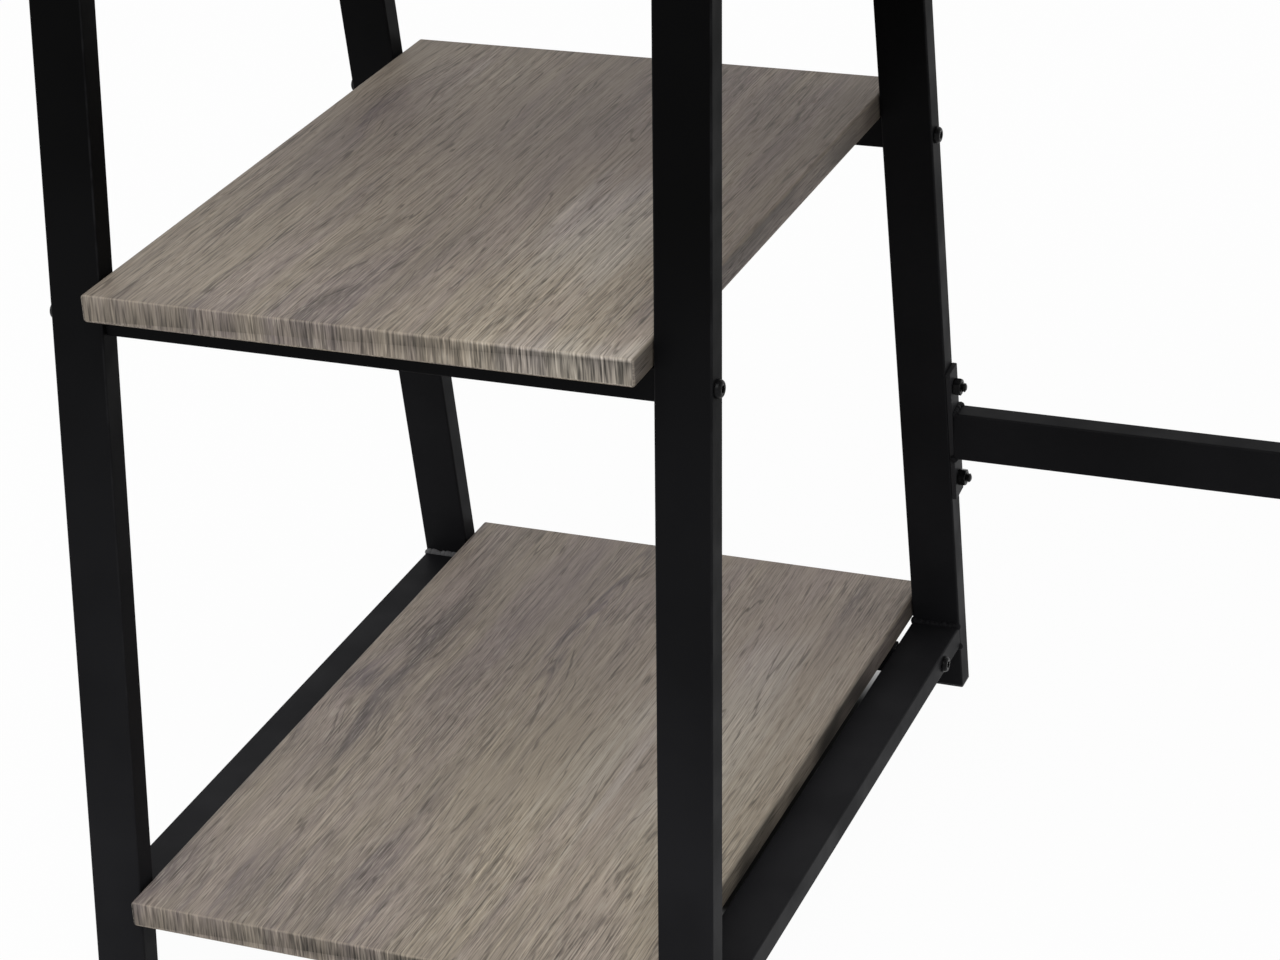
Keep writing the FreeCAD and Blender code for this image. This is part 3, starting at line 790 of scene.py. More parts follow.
def wrap_foil(piece, outline, lengths, box, rounds, turned):
    """Lay the foil over the top, down the sides and over both ends, as one sheet.

    Its grain runs along Y, or along X where it is turned.
    """
    low, high = box
    side_round, end_round = rounds
    across = foil_across(outline, side_round)
    count = len(outline)
    middle_x = (low.x + high.x) / 2
    drop = end_round * math.pi / 2 - end_round
    layer = piece.data.uv_layers.new(name="grain")
    for face in piece.data.polygons:
        steps = [piece.data.loops[i].vertex_index % count for i in face.loop_indices]
        wraps = 0 in steps and count - 1 in steps
        for index in face.loop_indices:
            vertex = piece.data.loops[index].vertex_index
            ring, step = divmod(vertex, count)
            if len(steps) > 4:
                place = piece.data.vertices[vertex].co
                down = drop + high.z - place.z
                end = low.y - down if ring == 0 else high.y + down
                spot = (place.x - middle_x, end)
            else:
                spot = (across[count if wraps and step == 0 else step], lengths[ring])
            layer.data[index].uv = spot[::-1] if turned else spot


class DESK_OT_boards(bpy.types.Operator):
    """Wrap the desktop and the two shelves in wood foil"""
    bl_idname = "desk.boards"
    bl_label = "Boards"

    def execute(self, context):
        settings = context.scene.desk_boards
        rounds = (settings.side_round, settings.end_round)
        for node in ("desktop", "upper_shelf", "lower_shelf"):
            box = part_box(node)
            outline, rings, lengths, weights = board_rings(*box, *rounds)
            piece = new_piece(f"{node}_board", rings, **weights)
            wrap_foil(piece, outline, lengths, box, rounds, node == "desktop")
            paint(piece, driftwood(node, settings))
            settle(piece, "board", node)
        return {"FINISHED"}


# Tubes
def tube_rings(half_a, half_b, radius, wall, start, end):
    """Hollow tube between two ends, each a rule that puts an outline point in its place."""
    outline = round_outline(half_a, half_b, radius, TUBE_LINE)
    outer = outline_points(outline, radius)
    inner = outline_points(outline, radius, min(wall, HOLLOW_SHARE * radius))
    rings = [[rule(a, b) for a, b in points] for rule, points in
             ((start, outer), (end, outer), (end, inner), (start, inner))]
    weights = [spot[4] for spot in outline]
    blank = [0.0] * len(outline)
    return rings, [weights, weights, blank, blank]


def leg_lean(box, depth):
    """Sideways run of a leg for each metre of height, and the tube's depth where it is cut level."""
    low, high = box
    slope = 0.0
    for _ in range(LEAN_STEPS):
        run = depth * math.sqrt(1 + slope * slope)
        slope = (high.y - low.y - run) / (high.z - low.z)
    return slope, depth * math.sqrt(1 + slope * slope)


def make_leg(node, side, settings):
    """Leaning leg of flat tube, cut level at both ends."""
    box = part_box(node)
    low, high = box
    slope, run = leg_lean(box, settings.depth)
    foot = (high.y if side > 0 else low.y) - side * run / 2
    middle_x = (low.x + high.x) / 2

    def at(level):
        y = foot - side * slope * (level - low.z)
        return lambda a, b: (middle_x + a, y + b, level)

    rings, edges = tube_rings((high.x - low.x) / 2, run / 2, settings.corner, settings.wall,
                              at(low.z), at(high.z))
    return new_piece(f"{node}_tube", rings, True, edge=edges)


def make_frame_rail(node, leg, settings):
    """Flat tube between two legs, its ends cut to their slope."""
    low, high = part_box(node)
    slope, _ = leg_lean(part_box(leg), settings.depth)
    middle_x, middle_z = (low.x + high.x) / 2, (low.z + high.z) / 2

    def at(side):
        reach = high.y if side > 0 else -low.y
        return lambda a, b: (middle_x + a, side * (reach - slope * (middle_z + b - low.z)), middle_z + b)

    rings, edges = tube_rings((high.x - low.x) / 2, (high.z - low.z) / 2, settings.corner, settings.wall,
                              at(-1), at(1))
    return new_piece(f"{node}_tube", rings, True, edge=edges)


def make_cross_tube(node, corner, wall):
    """Tube along the desk, its ends eased so that a fine seam shows where it meets a frame."""
    low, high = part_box(node)
    middle_y, middle_z = (low.y + high.y) / 2, (low.z + high.z) / 2
    rim = 0.5 * corner
    outline = round_outline((high.y - low.y) / 2, (high.z - low.z) / 2, corner, TUBE_LINE)
    inner = min(wall, HOLLOW_SHARE * corner)
    stations = ((low.x, rim), (low.x + rim, 0.0), (high.x - rim, 0.0), (high.x, rim),
                (high.x, inner), (low.x, inner))
    rings, edges = [], []
    for x, inset in stations:
        points = outline_points(outline, corner, inset)
        rings.append([(x, middle_y + a, middle_z + b) for a, b in points])
        edges.append([0.0 if inset == inner else spot[4] for spot in outline])
    return new_piece(f"{node}_tube", rings, True, edge=edges)


def drill(piece, places, radius, depth):
    """Cut round holes up into the underside of a piece."""
    for x, y, z in places:
        rings = [turned_ring(level, radius) for level in (-depth, depth)]
        cutter = new_piece("drill", [[(x + a, y + b, z + c) for a, b, c in ring] for ring in rings])
        cut = piece.modifiers.new("hole", "BOOLEAN")
        cut.operation = "DIFFERENCE"
        cut.solver = "EXACT"
        cut.object = cutter
        result = made_mesh(piece)
        piece.modifiers.remove(cut)
        piece.data = result
        bpy.data.objects.remove(cutter)


def screw_edge(node):
    """Half the head width of a set of shelf screws: their rows lie over the middles of the rails."""
    low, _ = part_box(node)
    rail_low, rail_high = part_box(node.replace("shelf_screws", "front_rail"))
    return (rail_low.y + rail_high.y) / 2 - low.y


def make_shelf_rail(level, end, settings):
    """Small rail under a shelf, open below each screw so that the screw's head goes in."""
    node = f"{level}_{end}_rail"
    piece = make_cross_tube(node, settings.rail_corner, settings.rail_wall)
    low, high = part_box(node)
    screw_low, screw_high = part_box(f"{level}_shelf_screws")
    head = screw_edge(f"{level}_shelf_screws")
    places = [(x, (low.y + high.y) / 2, low.z) for x in (screw_low.x + head, screw_high.x - head)]
    drill(piece, places, settings.access / 2, 2 * settings.rail_wall)
    return piece, node


def make_plate(node, leg, settings):
    """Flange plate that lies along the leg, with slightly broken edges."""
    low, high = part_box(node)
    middle = (low + high) / 2
    slope, _ = leg_lean(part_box(leg), settings.depth)
    lean = math.atan(slope)
    length = (high.z - low.z - settings.depth * math.sin(lean)) / math.cos(lean)
    corner, broken = 0.8 * MM, 0.3 * MM
    edge_rub, face_rub = 0.6, 0.3
    outline = round_outline(settings.depth / 2, length / 2, corner, PLATE_LINE)
    rings, edges = [], []
    for x, inset in ((low.x, broken), (low.x + broken, 0), (high.x - broken, 0), (high.x, broken)):
        ring = []
        for a, b in outline_points(outline, corner, inset):
            y = a * math.cos(lean) - b * math.sin(lean)
            z = a * math.sin(lean) + b * math.cos(lean)
            ring.append((x, middle.y + y, middle.z + z))
        rings.append(ring)
        edges.append([edge_rub if inset else face_rub] * len(ring))
    return new_piece(f"{node}_flange", rings, smooth=PLATE_SMOOTH, edge=edges)


class DESK_OT_frames(bpy.types.Operator):
    """Make the tubes of the three frames, the shelf rails, the stretcher and its flange plates"""
    bl_idname = "desk.frames"
    bl_label = "Frames"

    def execute(self, context):
        settings = context.scene.desk_tubes
        made = []
        for name in FRAMES:
            for end, side in (("front", -1), ("back", 1)):
                node = f"{name}_{end}_leg"
                made.append((make_leg(node, side, settings), node))
            for rail in ("foot_rail", "top_rail"):
                node = f"{name}_{rail}"
                made.append((make_frame_rail(node, f"{name}_back_leg", settings), node))
        for level in ("upper", "lower"):
            for end in ("front", "back"):
                made.append(make_shelf_rail(level, end, settings))
        stretcher = "back_stretcher"
        made.append((make_cross_tube(stretcher, settings.corner, settings.wall), stretcher))
        coat = tube_coat(settings)
        for piece, node in made:
            paint(piece, coat)
            settle(piece, "frame", node)
        # Painted light: the flange plates get a lighter copy of the coat, for the light their edges catch
        rubbed_and_lit = powder_coat("lit_plate_coat", settings, settings.worn_and_lit, *SATIN)
        for side, name in (("left", "middle"), ("right", "right")):
            node = f"stretcher_{side}_plate"
            piece = make_plate(node, f"{name}_back_leg", settings)
            paint(piece, rubbed_and_lit)
            settle(piece, "frame", node)
        return {"FINISHED"}


# Geometry trees
def new_tree(name, inputs):
    """Geometry tree with its named inputs; gives the tree, its input node and their identifiers."""
    tree = bpy.data.node_groups.new(name, "GeometryNodeTree")
    tree.interface.new_socket("Geometry", in_out="INPUT", socket_type="NodeSocketGeometry")
    keys = {}
    for label, kind in inputs:
        socket = tree.interface.new_socket(label, in_out="INPUT", socket_type=f"NodeSocket{kind}")
        keys[label] = socket.identifier
    tree.interface.new_socket("Geometry", in_out="OUTPUT", socket_type="NodeSocketGeometry")
    return tree, tree.nodes.new("NodeGroupInput"), keys


def end_tree(tree, geometry, material):
    """Make the copies real, give them their material and put them out."""
    real = add_node(tree, "GeometryNodeRealizeInstances", {"Geometry": geometry})
    smooth = add_node(tree, "GeometryNodeSetShadeSmooth", {"Geometry": real.outputs[0]})
    painted = add_node(tree, "GeometryNodeSetMaterial", {
        "Geometry": smooth.outputs[0], "Material": material})
    add_node(tree, "NodeGroupOutput", {"Geometry": painted.outputs[0]})


def random_value(tree, kind, low, high, seed):
    """Random Value node output of the kind, between two limits."""
    node = add_node(tree, "FunctionNodeRandomValue", data_type=kind)
    for socket in node.inputs:
        if not socket.enabled:
            continue
        if socket.name == "Min":
            socket.default_value = low
        elif socket.name == "Max":
            socket.default_value = high
        elif socket.name == "Seed":
            tree.links.new(seed, socket)
    return next(socket for socket in node.outputs if socket.enabled)


def fastener_tree():
    """Copies of one fastener on points, its head along each point's axis, each turned by chance."""
    tree, given, keys = new_tree("fastener_set", (
        ("Fastener", "Object"), ("Seed", "Int"), ("Material", "Material")))
    axis = add_node(tree, "GeometryNodeInputNamedAttribute", {"Name": "axis"}, data_type="FLOAT_VECTOR")
    aimed = add_node(tree, "FunctionNodeAlignRotationToVector", {"Vector": axis.outputs[0]}, axis="Z")
    angle = random_value(tree, "FLOAT", 0.0, math.tau, given.outputs["Seed"])
    spin = add_node(tree, "FunctionNodeAxisAngleToRotation", {"Axis": (0.0, 0.0, 1.0), "Angle": angle})
    turned = add_node(tree, "FunctionNodeRotateRotation", {
        "Rotation": aimed.outputs[0], "Rotate By": spin.outputs[0]}, rotation_space="LOCAL")
    shape = add_node(tree, "GeometryNodeObjectInfo", {"Object": given.outputs["Fastener"]})
    points = add_node(tree, "GeometryNodeMeshToPoints", {"Mesh": given.outputs["Geometry"]})
    copies = add_node(tree, "GeometryNodeInstanceOnPoints", {
        "Points": points.outputs[0], "Instance": shape.outputs["Geometry"],
        "Rotation": turned.outputs[0]})
    end_tree(tree, copies.outputs[0], given.outputs["Material"])
    return tree, keys


def weld_tree():
    """Row of uneven, overlapping drops of metal along each line."""
    tree, given, keys = new_tree("weld_bead", (
        ("Bead", "Float"), ("Ripple", "Float"), ("Seed", "Int"), ("Material", "Material")))
    line = add_node(tree, "GeometryNodeMeshToCurve", {"Mesh": given.outputs["Geometry"]})
    drops = add_node(tree, "GeometryNodeCurveToPoints", {
        "Curve": line.outputs[0], "Length": given.outputs["Ripple"]}, mode="LENGTH")
    stray, smallest = 0.4 * MM, (0.75, 0.72, 0.72)
    jolt = random_value(tree, "FLOAT_VECTOR", (-stray,) * 3, (stray,) * 3, given.outputs["Seed"])
    moved = add_node(tree, "GeometryNodeSetPosition", {"Geometry": drops.outputs[0], "Offset": jolt})
    size = random_value(tree, "FLOAT_VECTOR", smallest, (1.0, 1.0, 1.0), given.outputs["Seed"])
    drop = add_node(tree, "GeometryNodeMeshIcoSphere", {
        "Radius": given.outputs["Bead"], "Subdivisions": 2})
    copies = add_node(tree, "GeometryNodeInstanceOnPoints", {
        "Points": moved.outputs[0], "Instance": drop.outputs[0], "Scale": size})
    end_tree(tree, copies.outputs[0], given.outputs["Material"])
    return tree, keys


def run_tree(name, mesh, tree, keys, values):
    """Plain mesh piece that the tree makes from a mesh of points or lines."""
    carrier = add_object(f"{name}_points", mesh)
    modifier = carrier.modifiers.new("build", "NODES")
    modifier.node_group = tree
    for label, value in values.items():
        modifier[keys[label]] = value
    result = made_mesh(carrier)
    if not result.polygons:
        raise RuntimeError(f"{name} came out empty")
    carrier.modifiers.remove(modifier)
    bpy.data.objects.remove(carrier)
    result.name = name
    result.set_sharp_from_angle(angle=math.radians(SET_SMOOTH))
    return add_object(name, result)


def seat_mesh(name, seats):
    """Points with the way each fastener's head looks."""
    mesh = bpy.data.meshes.new(f"{name}_seats")
    mesh.from_pydata([place for place, _ in seats], [], [])
    axis = mesh.attributes.new("axis", "FLOAT_VECTOR", "POINT")
    axis.data.foreach_set("vector", [part for _, way in seats for part in way])
    return mesh


# Fasteners, whose sets are turned by seeds that follow the first one
STUD_SEED = 2
NUT_SEED = 3
SCREW_SEED = 10


def hexagon(width):
    """Rule for the reach of a hexagon in each direction, from its width across flats."""
    def reach(angle):
        part = (angle + math.pi / 6) % (math.pi / 3) - math.pi / 6
        return width / 2 / math.cos(part)
    return reach


def cross(length, width):
    """Rule for the reach of a cross in each direction, from half its arms' length and width."""
    tiny = 1e-9

    def reach(angle):
        along, beside = abs(math.cos(angle)), abs(math.sin(angle))
        first = min(length / max(along, tiny), width / max(beside, tiny))
        second = min(length / max(beside, tiny), width / max(along, tiny))
        return max(first, second)
    return reach


def thread_rings(top, bottom, outer, depth, pitch):
    """Rings of a screw thread from one level down to another, with faded ends."""
    rings = []
    count = max(2, round((top - bottom) / pitch * THREAD_STEPS))
    for index in range(count + 1):
        level = top + (bottom - top) * index / count
        fade = min(1.0, index / THREAD_STEPS, (count - index) / THREAD_STEPS + THREAD_END)

        def radius(angle, level=level, fade=fade):
            phase = (level / pitch - angle / math.tau) % 1.0
            return outer - depth * fade * (1 - abs(2 * phase - 1))

        rings.append(turned_ring(level, radius))
    return rings


def shank_rings(length, thread, settings):
    """Rings of a shank from its tip up to its head, with a thread of the given length at the tip."""
    radius = settings.shank / 2
    taper, start, groove, neck = 0.6 * MM, 0.8 * MM, 0.13 * settings.shank, 0.3 * MM
    rings = [turned_ring(-length, 0.55 * radius), turned_ring(taper - length, 0.86 * radius)]
    cut = thread_rings(thread - length, start - length, radius, groove, settings.pitch)
    return rings + cut[::-1] + [turned_ring(-neck, radius), turned_ring(0.0, 1.05 * radius)]


def dome_rings(low, high, outer, flat, steps):
    """Rings of a dome from its rim up to the edge of its flat top."""
    rings = []
    for step in range(steps + 1):
        turn = math.pi / 2 * step / steps
        reach = flat + (outer - flat) * math.cos(turn)
        rings.append(turned_ring(low + (high - low) * math.sin(turn), reach))
    return rings


def bolt_master(name, head, length, settings):
    """Domed bolt with a hexagon socket, its head towards +Z and its seat at the origin."""
    height, socket = settings.head_height, settings.socket
    thread, eased, lip, rim, mouth = 12 * MM, 0.2 * MM, 0.15 * MM, 0.5 * MM, 0.25 * MM
    rings = shank_rings(length, thread, settings)
    rings += [turned_ring(0.0, head / 2 - eased), turned_ring(lip, head / 2)]
    rings += dome_rings(rim, height, head / 2, 0.62 * head / 2, BOLT_DOME_STEPS)
    rings += [turned_ring(height, 0.66 * socket), turned_ring(height - mouth, hexagon(socket))]
    rings += [turned_ring(0.45 * height, hexagon(socket)), turned_ring(0.35 * height, 0.2 * socket)]
    return new_piece(name, rings, smooth=TURNED_SMOOTH)


def stud_master(name, length, settings):
    """Threaded stud, its flange towards +Z and its seat at the origin."""
    flange, height = settings.flange / 2, settings.flange_height
    plain, eased = 1 * MM, 0.2 * MM
    rings = shank_rings(length, length - plain, settings)
    rings += [turned_ring(0.0, flange - eased), turned_ring(eased, flange)]
    rings += [turned_ring(height - eased, flange), turned_ring(height, flange - eased)]
    return new_piece(name, rings, smooth=TURNED_SMOOTH)


def nut_master(name, settings):
    """Hexagon nut with turned corners, its seat at the origin and its face towards +Z."""
    width, height = settings.nut_width, settings.nut_height
    outline = hexagon(width)
    face, slope = 0.475 * width, 1.73
    bore, lead = settings.shank / 2 + 0.05 * MM, 0.5 * MM
    levels = [level * MM for level in (0.0, 0.12, 0.25, 0.4, 0.6, 0.9)]
    rings = []
    for level in levels + [height - level for level in levels[::-1]]:
        off = min(level, height - level)
        rings.append(turned_ring(level, lambda angle, off=off: min(outline(angle), face + slope * off)))
    rings += [turned_ring(height, bore + lead), turned_ring(height - lead, bore)]
    rings += [turned_ring(lead, bore), turned_ring(0.0, bore + lead)]
    return new_piece(name, rings, True, smooth=TURNED_SMOOTH)


def screw_master(name, length, settings):
    """Pan-head wood screw with a cross recess, its head towards +Z and its seat at the origin."""
    head, height, radius = settings.screw_width, settings.screw_head, settings.screw / 2
    point, start, plain, pitch, groove = 2.2 * MM, 2.4 * MM, 1.5 * MM, 1.4 * MM, 0.32 * radius
    eased, rim, wings, bottom = 0.1 * MM, 0.6 * MM, 0.9 * MM, 1.5 * MM
    rings = [turned_ring(-length, 0.08 * radius), turned_ring(point - length, 0.62 * radius)]
    rings += thread_rings(-plain, start - length, radius, groove, pitch)[::-1]
    rings += [turned_ring(0.0, radius), turned_ring(0.0, head / 2 - eased)]
    rings += dome_rings(rim, height, head / 2, 0.55 * head / 2, SCREW_DOME_STEPS)
    for level, share in ((height, 1.05), (height - wings, 0.8)):
        rings.append(turned_ring(level, cross(share * 0.26 * head, share * 0.07 * head)))
    rings.append(turned_ring(height - bottom, 0.06 * head))
    return new_piece(name, rings, smooth=TURNED_SMOOTH)


def place_set(name, master, seats, seed, material, slot, node):
    """Put a copy of the master on each seat, as one piece for the node."""
    tree, keys = fastener_tree()
    values = {"Fastener": master, "Seed": seed, "Material": material}
    piece = run_tree(name, seat_mesh(name, seats), tree, keys, values)
    settle(piece, slot, node)


def drop_masters(*masters):
    """Remove fasteners that only served as the pattern for a set."""
    for master in masters:
        bpy.data.objects.remove(master)


def rail_bolt_seats(node, height):
    """Seats on the outer faces of the two frames beside the shelves, and the head's diameter."""
    low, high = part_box(node)
    head = high.z - low.z
    level = (low.z + high.z) / 2
    seats = []
    for y in (low.y + head / 2, high.y - head / 2):
        seats.append(((low.x + height, y, level), (-1.0, 0.0, 0.0)))
        seats.append(((high.x - height, y, level), (1.0, 0.0, 0.0)))
    return seats, head


def flange_seats(node, width, height, ways):
    """Two leaning seats at each end of the stretcher; each end looks one of the two ways."""
    low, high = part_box(node)
    middle = (low + high) / 2
    rise = (high.z - low.z - height) / 2
    lean = (high.y - low.y - width) / 2
    seats = []
    for x, way in ways:
        for sign in (1, -1):
            seats.append(((x, middle.y - sign * lean, middle.z + sign * rise), (way, 0.0, 0.0)))
    return seats


class DESK_OT_bolts(bpy.types.Operator):
    """Make the bolts of the shelf rails and the studs and nuts of the stretcher"""
    bl_idname = "desk.bolts"
    bl_label = "Bolts and nuts"

    def execute(self, context):
        settings = context.scene.desk_fasteners
        oxide = shared("black_oxide", black_oxide, settings)
        leg_low, leg_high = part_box("middle_back_leg")
        _, head = rail_bolt_seats("upper_rail_bolts", settings.head_height)
        rail_bolt = bolt_master("rail_bolt_master", head, leg_high.x - leg_low.x + settings.bite, settings)
        for shift, level in enumerate(("upper", "lower")):
            node = f"{level}_rail_bolts"
            seats, _ = rail_bolt_seats(node, settings.head_height)
            place_set(f"{node}_set", rail_bolt, seats, settings.seed + shift, oxide, "bolt", node)

        low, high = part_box("stretcher_studs")
        nut_low, nut_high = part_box("stretcher_nuts")
        left, right = low.x + settings.flange_height, high.x - settings.flange_height
        tip = nut_low.x + settings.nut_height + settings.tip
        stud = stud_master("stud_master", tip - left, settings)
        ways = ((left, -1.0), (right, 1.0))
        seats = flange_seats("stretcher_studs", settings.flange, settings.flange, ways)
        seed = settings.seed + STUD_SEED
        place_set("stretcher_studs_set", stud, seats, seed, oxide, "bolt", "stretcher_studs")

        nut = nut_master("nut_master", settings)
        corner = 2 * settings.nut_width / math.sqrt(3)
        ways = ((nut_low.x, 1.0), (nut_high.x, -1.0))
        seats = flange_seats("stretcher_nuts", settings.nut_width, corner, ways)
        seed = settings.seed + NUT_SEED
        place_set("stretcher_nuts_set", nut, seats, seed, oxide, "bolt", "stretcher_nuts")
        drop_masters(rail_bolt, stud, nut)
        return {"FINISHED"}


def screw_seats(node, places_x, settings):
    """Seats of screws that point up, from their box and the places along the desk."""
    low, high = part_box(node)
    edge = settings.screw_width / 2
    level = low.z + settings.screw_head
    return [((x, y, level), (0.0, 0.0, -1.0)) for x in places_x for y in (low.y + edge, high.y - edge)]


class DESK_OT_screws(bpy.types.Operator):
    """Make the wood screws and finish the threaded plugs"""
    bl_idname = "desk.screws"
    bl_label = "Screws and plugs"

    def execute(self, context):
        settings = context.scene.desk_fasteners
        zinc = shared("zinc_plate", zinc_plate, settings)
        edge = settings.screw_width / 2
        sets = {}
        for node in ("upper_shelf_screws", "lower_shelf_screws"):
            low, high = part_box(node)
            sets[node] = (low.x + edge, high.x - edge)
        sets["desktop_screws"] = [sum(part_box(f"{name}_top_rail"), Vector()).x / 2 for name in FRAMES]
        for shift, (node, places_x) in enumerate(sets.items()):
            low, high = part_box(node)
            master = screw_master("screw_master", high.z - low.z - settings.screw_head, settings)
            seats = screw_seats(node, places_x, settings)
            place_set(f"{node}_set", master, seats, settings.seed + SCREW_SEED + shift, zinc, "zinc", node)
            drop_masters(master)
        for node in ("upper_rail_plugs", "lower_rail_plugs"):
            paint(NODES[node], zinc)
        return {"FINISHED"}


class DESK_OT_feet(bpy.types.Operator):
    """Finish the plastic plugs in the lower ends of the legs"""
    bl_idname = "desk.feet"
    bl_label = "Foot plugs"

    def execute(self, context):
        settings = context.scene.desk_fasteners
        plastic = shared("moulded_plastic", moulded_plastic, settings)
        for name in FRAMES:
            for end in ("front", "back"):
                paint(NODES[f"{name}_{end}_foot_plug"], plastic)
        return {"FINISHED"}


# Welds
def weld_lines(settings):
    """Ends of each weld: frame rails on their legs, and the stretcher on its flange plates."""
    lines = {}
    for name in FRAMES:
        ends = []
        slope, _ = leg_lean(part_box(f"{name}_back_leg"), settings.depth)
        for rail, shares in (("foot_rail", (0.0, 1.0)), ("top_rail", (0.0,))):
            low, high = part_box(f"{name}_{rail}")
            for share in shares:
                level = low.z + share * (high.z - low.z)
                reach = high.y - slope * (level - low.z)
                for y in (-reach, reach):
                    ends.append(((low.x + settings.corner, y, level), (high.x - settings.corner, y, level)))
        lines[name] = ends
    low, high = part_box("back_stretcher")
    ends = []
    for x in (low.x, high.x):
        for z in (low.z, high.z):
            ends.append(((x, low.y + settings.corner, z), (x, high.y - settings.corner, z)))
    lines["stretcher"] = ends
    return lines


class DESK_OT_welds(bpy.types.Operator):
    """Lay weld beads along the joints of the frames and the stretcher"""
    bl_idname = "desk.welds"
    bl_label = "Welds"

    def execute(self, context):
        settings = context.scene.desk_tubes
        # Painted light: the left frame's welds get a lighter copy of the coat; the other welds keep the
        # plain coat
        lit = powder_coat("lit_weld_coat", settings, settings.weld, *GLOSSY)
        tree, keys = weld_tree()
        for seed, (name, ends) in enumerate(weld_lines(settings).items()):
            mesh = bpy.data.meshes.new(f"{name}_weld_lines")
            points = [point for line in ends for point in line]
            mesh.from_pydata(points, [(2 * i, 2 * i + 1) for i in range(len(ends))], [])
            coat = lit if name == "left" else tube_coat(settings)
            values = {"Bead": settings.bead, "Ripple": settings.bead_step, "Seed": seed, "Material": coat}
            piece = run_tree(f"{name}_welds", mesh, tree, keys, values)
            settle(piece, "frame")
        return {"FINISHED"}


# Stage: the camera's place in metres and its turn in degrees
CAMERA_PLACE = (0.36919, -1.60729, 1.11620)
CAMERA_TURN = (63.5658, 3.0546, 21.7987)
SENSOR = 36.0
# Soft lights: place, target and size
FRONT_LIGHT = ((-0.10, -1.75, 2.75), (-0.39, 0.0, 0.35), (2.4, 1.8))
SIDE_LIGHT = ((2.6, 0.4, 1.7), (-0.2, 0.0, 0.4), (1.6, 1.6))
FLOOR_HALF = 8.0
SHADE_SOFT = 60 * MM
WHITE = (1.0, 1.0, 1.0, 1.0)


def add_camera(settings):
    """Camera at the photograph's viewing angle."""
    data = bpy.data.cameras.new("camera")
    data.sensor_fit = "HORIZONTAL"
    data.sensor_width = SENSOR
    data.lens = settings.lens
    camera = add_object("camera", data)
    camera.location = CAMERA_PLACE
    camera.rotation_euler = [math.radians(angle) for angle in CAMERA_TURN]
    bpy.context.scene.camera = camera


def add_softbox(name, place, target, size, power):
    """Large soft light at a place, aimed at a target."""
    data = bpy.data.lights.new(name, "AREA")
    data.shape = "RECTANGLE"
    data.size, data.size_y = size
    data.energy = power
    lamp = add_object(name, data)
    lamp.location = place
    lamp.rotation_euler = (Vector(target) - Vector(place)).to_track_quat("-Z", "Y").to_euler()


def seen_directly(tree):
    """One for rays from the camera, a glossy surface or glass, and nothing for the rest."""
    path = add_node(tree, "ShaderNodeLightPath")
    seen = Field(tree, path.outputs["Is Camera Ray"])
    for name in ("Is Glossy Ray", "Is Transmission Ray"):
        seen = seen.calc("MAXIMUM", seen, path.outputs[name])
    return seen


def add_world(settings):
    """White to look at, and an even light of its own strength."""
    world = bpy.data.worlds.new("studio")
    bpy.context.scene.world = world
    world.use_nodes = True
    tree = world.node_tree
    tree.nodes.clear()
    light = add_node(tree, "ShaderNodeBackground", {"Color": WHITE, "Strength": settings.ambient})
    plain = add_node(tree, "ShaderNodeBackground", {"Color": WHITE, "Strength": 1.0})
    both = add_node(tree, "ShaderNodeMixShader", {
        0: seen_directly(tree), 1: light.outputs[0], 2: plain.outputs[0]})
    add_node(tree, "ShaderNodeOutputWorld", {"Surface": both.outputs[0]})


def add_floor(settings):
    """White floor that keeps a share of the desk's shadow, and lies in deep shade under the shelf."""
    half = FLOOR_HALF
    mesh = bpy.data.meshes.new("floor")
    corners = [(-half, -half, 0.0), (half, -half, 0.0), (half, half, 0.0), (-half, half, 0.0)]
    mesh.from_pydata(corners, [], [(0, 1, 2, 3)])
    floor = add_object("floor", mesh)
    material, tree, shader = new_material("floor", settings.floor)
    clear = clear_of_shelf(tree)
    set_inputs(tree, shader, {
        "Base Color": blend_colour(tree, clear, settings.dark, settings.floor),
        "Roughness": 0.9,
        "Specular IOR Level": 0.0,
    })
    glow = add_node(tree, "ShaderNodeEmission", {"Color": WHITE, "Strength": 1.0})
    share = seen_directly(tree) * (1.0 - settings.shadow) * clear
    both = add_node(tree, "ShaderNodeMixShader", {0: share, 1: shader.outputs[0], 2: glow.outputs[0]})
    set_inputs(tree, tree.nodes["Material Output"], {"Surface": both.outputs[0]})
    paint(floor, material)


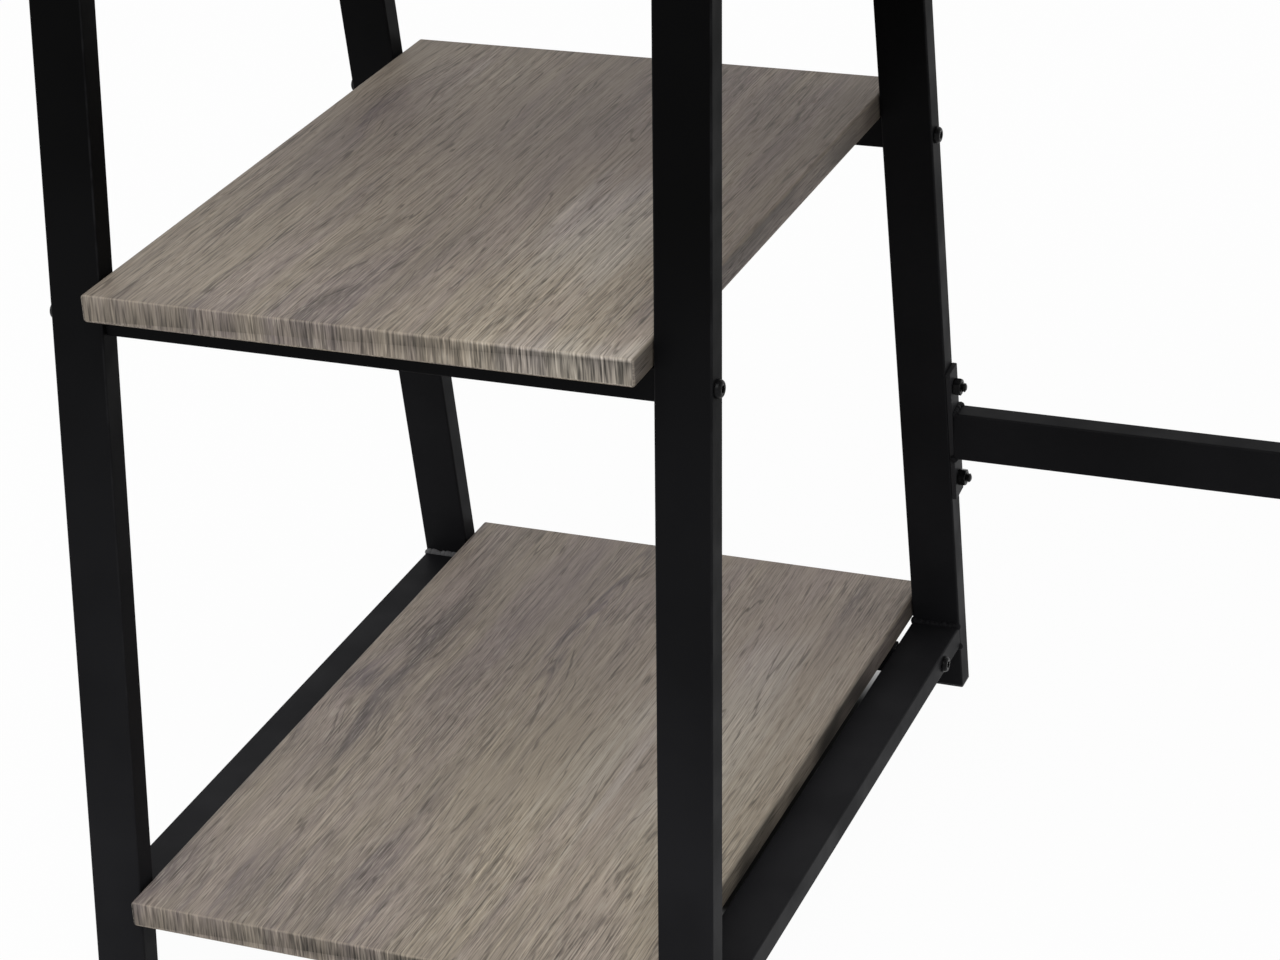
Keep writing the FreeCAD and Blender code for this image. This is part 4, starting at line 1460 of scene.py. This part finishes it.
def clear_of_shelf(tree):
    """One on the open floor, and nothing in the dark behind the lower shelf's front rail."""
    low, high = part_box("lower_shelf")
    x, y, _ = axes_of(tree, own_place(tree))
    soft = SHADE_SOFT
    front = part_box("lower_front_rail")[1].y + soft
    inside = x.spread(low.x - soft / 2, low.x + soft / 2) * x.spread(high.x + soft / 4, high.x - soft / 4)
    inside = inside * y.spread(front, front + soft) * y.spread(high.y + soft, high.y - soft)
    return 1.0 - inside


class DESK_OT_stage(bpy.types.Operator):
    """Set up the white floor, the soft light and the camera"""
    bl_idname = "desk.stage"
    bl_label = "Stage"

    def execute(self, context):
        settings = context.scene.desk_stage
        context.scene.view_settings.view_transform = "Standard"
        add_world(settings)
        add_floor(settings)
        add_softbox("front_light", *FRONT_LIGHT, settings.key)
        add_softbox("side_light", *SIDE_LIGHT, settings.side)
        add_camera(settings)
        return {"FINISHED"}


OPERATORS = (
    DESK_OT_boards, DESK_OT_frames, DESK_OT_welds, DESK_OT_bolts,
    DESK_OT_screws, DESK_OT_feet, DESK_OT_stage,
)
SETTINGS = {
    "desk_boards": DeskBoardSettings,
    "desk_tubes": DeskTubeSettings,
    "desk_fasteners": DeskFastenerSettings,
    "desk_stage": DeskStageSettings,
}


class DESK_PT_panel(bpy.types.Panel):
    """Sizes, colours and steps of the desk"""
    bl_label = "Desk with shelves"
    bl_idname = "DESK_PT_panel"
    bl_space_type = "VIEW_3D"
    bl_region_type = "UI"
    bl_category = "Desk"

    def draw(self, context):
        for operator in OPERATORS:
            self.layout.operator(operator.bl_idname)
        for name, group in SETTINGS.items():
            box = self.layout.box()
            for key in group.__annotations__:
                box.prop(getattr(context.scene, name), key)


CLASSES = (*SETTINGS.values(), *OPERATORS, DESK_PT_panel)


def register():
    for item in CLASSES:
        bpy.utils.register_class(item)
    for name, group in SETTINGS.items():
        setattr(bpy.types.Scene, name, bpy.props.PointerProperty(type=group))


def unregister():
    for name in SETTINGS:
        delattr(bpy.types.Scene, name)
    for item in reversed(CLASSES):
        bpy.utils.unregister_class(item)


def main():
    register()
    bpy.ops.desk.boards()
    bpy.ops.desk.frames()
    bpy.ops.desk.welds()
    bpy.ops.desk.bolts()
    bpy.ops.desk.screws()
    bpy.ops.desk.feet()
    bpy.ops.desk.stage()


if __name__ == "__main__":
    main()
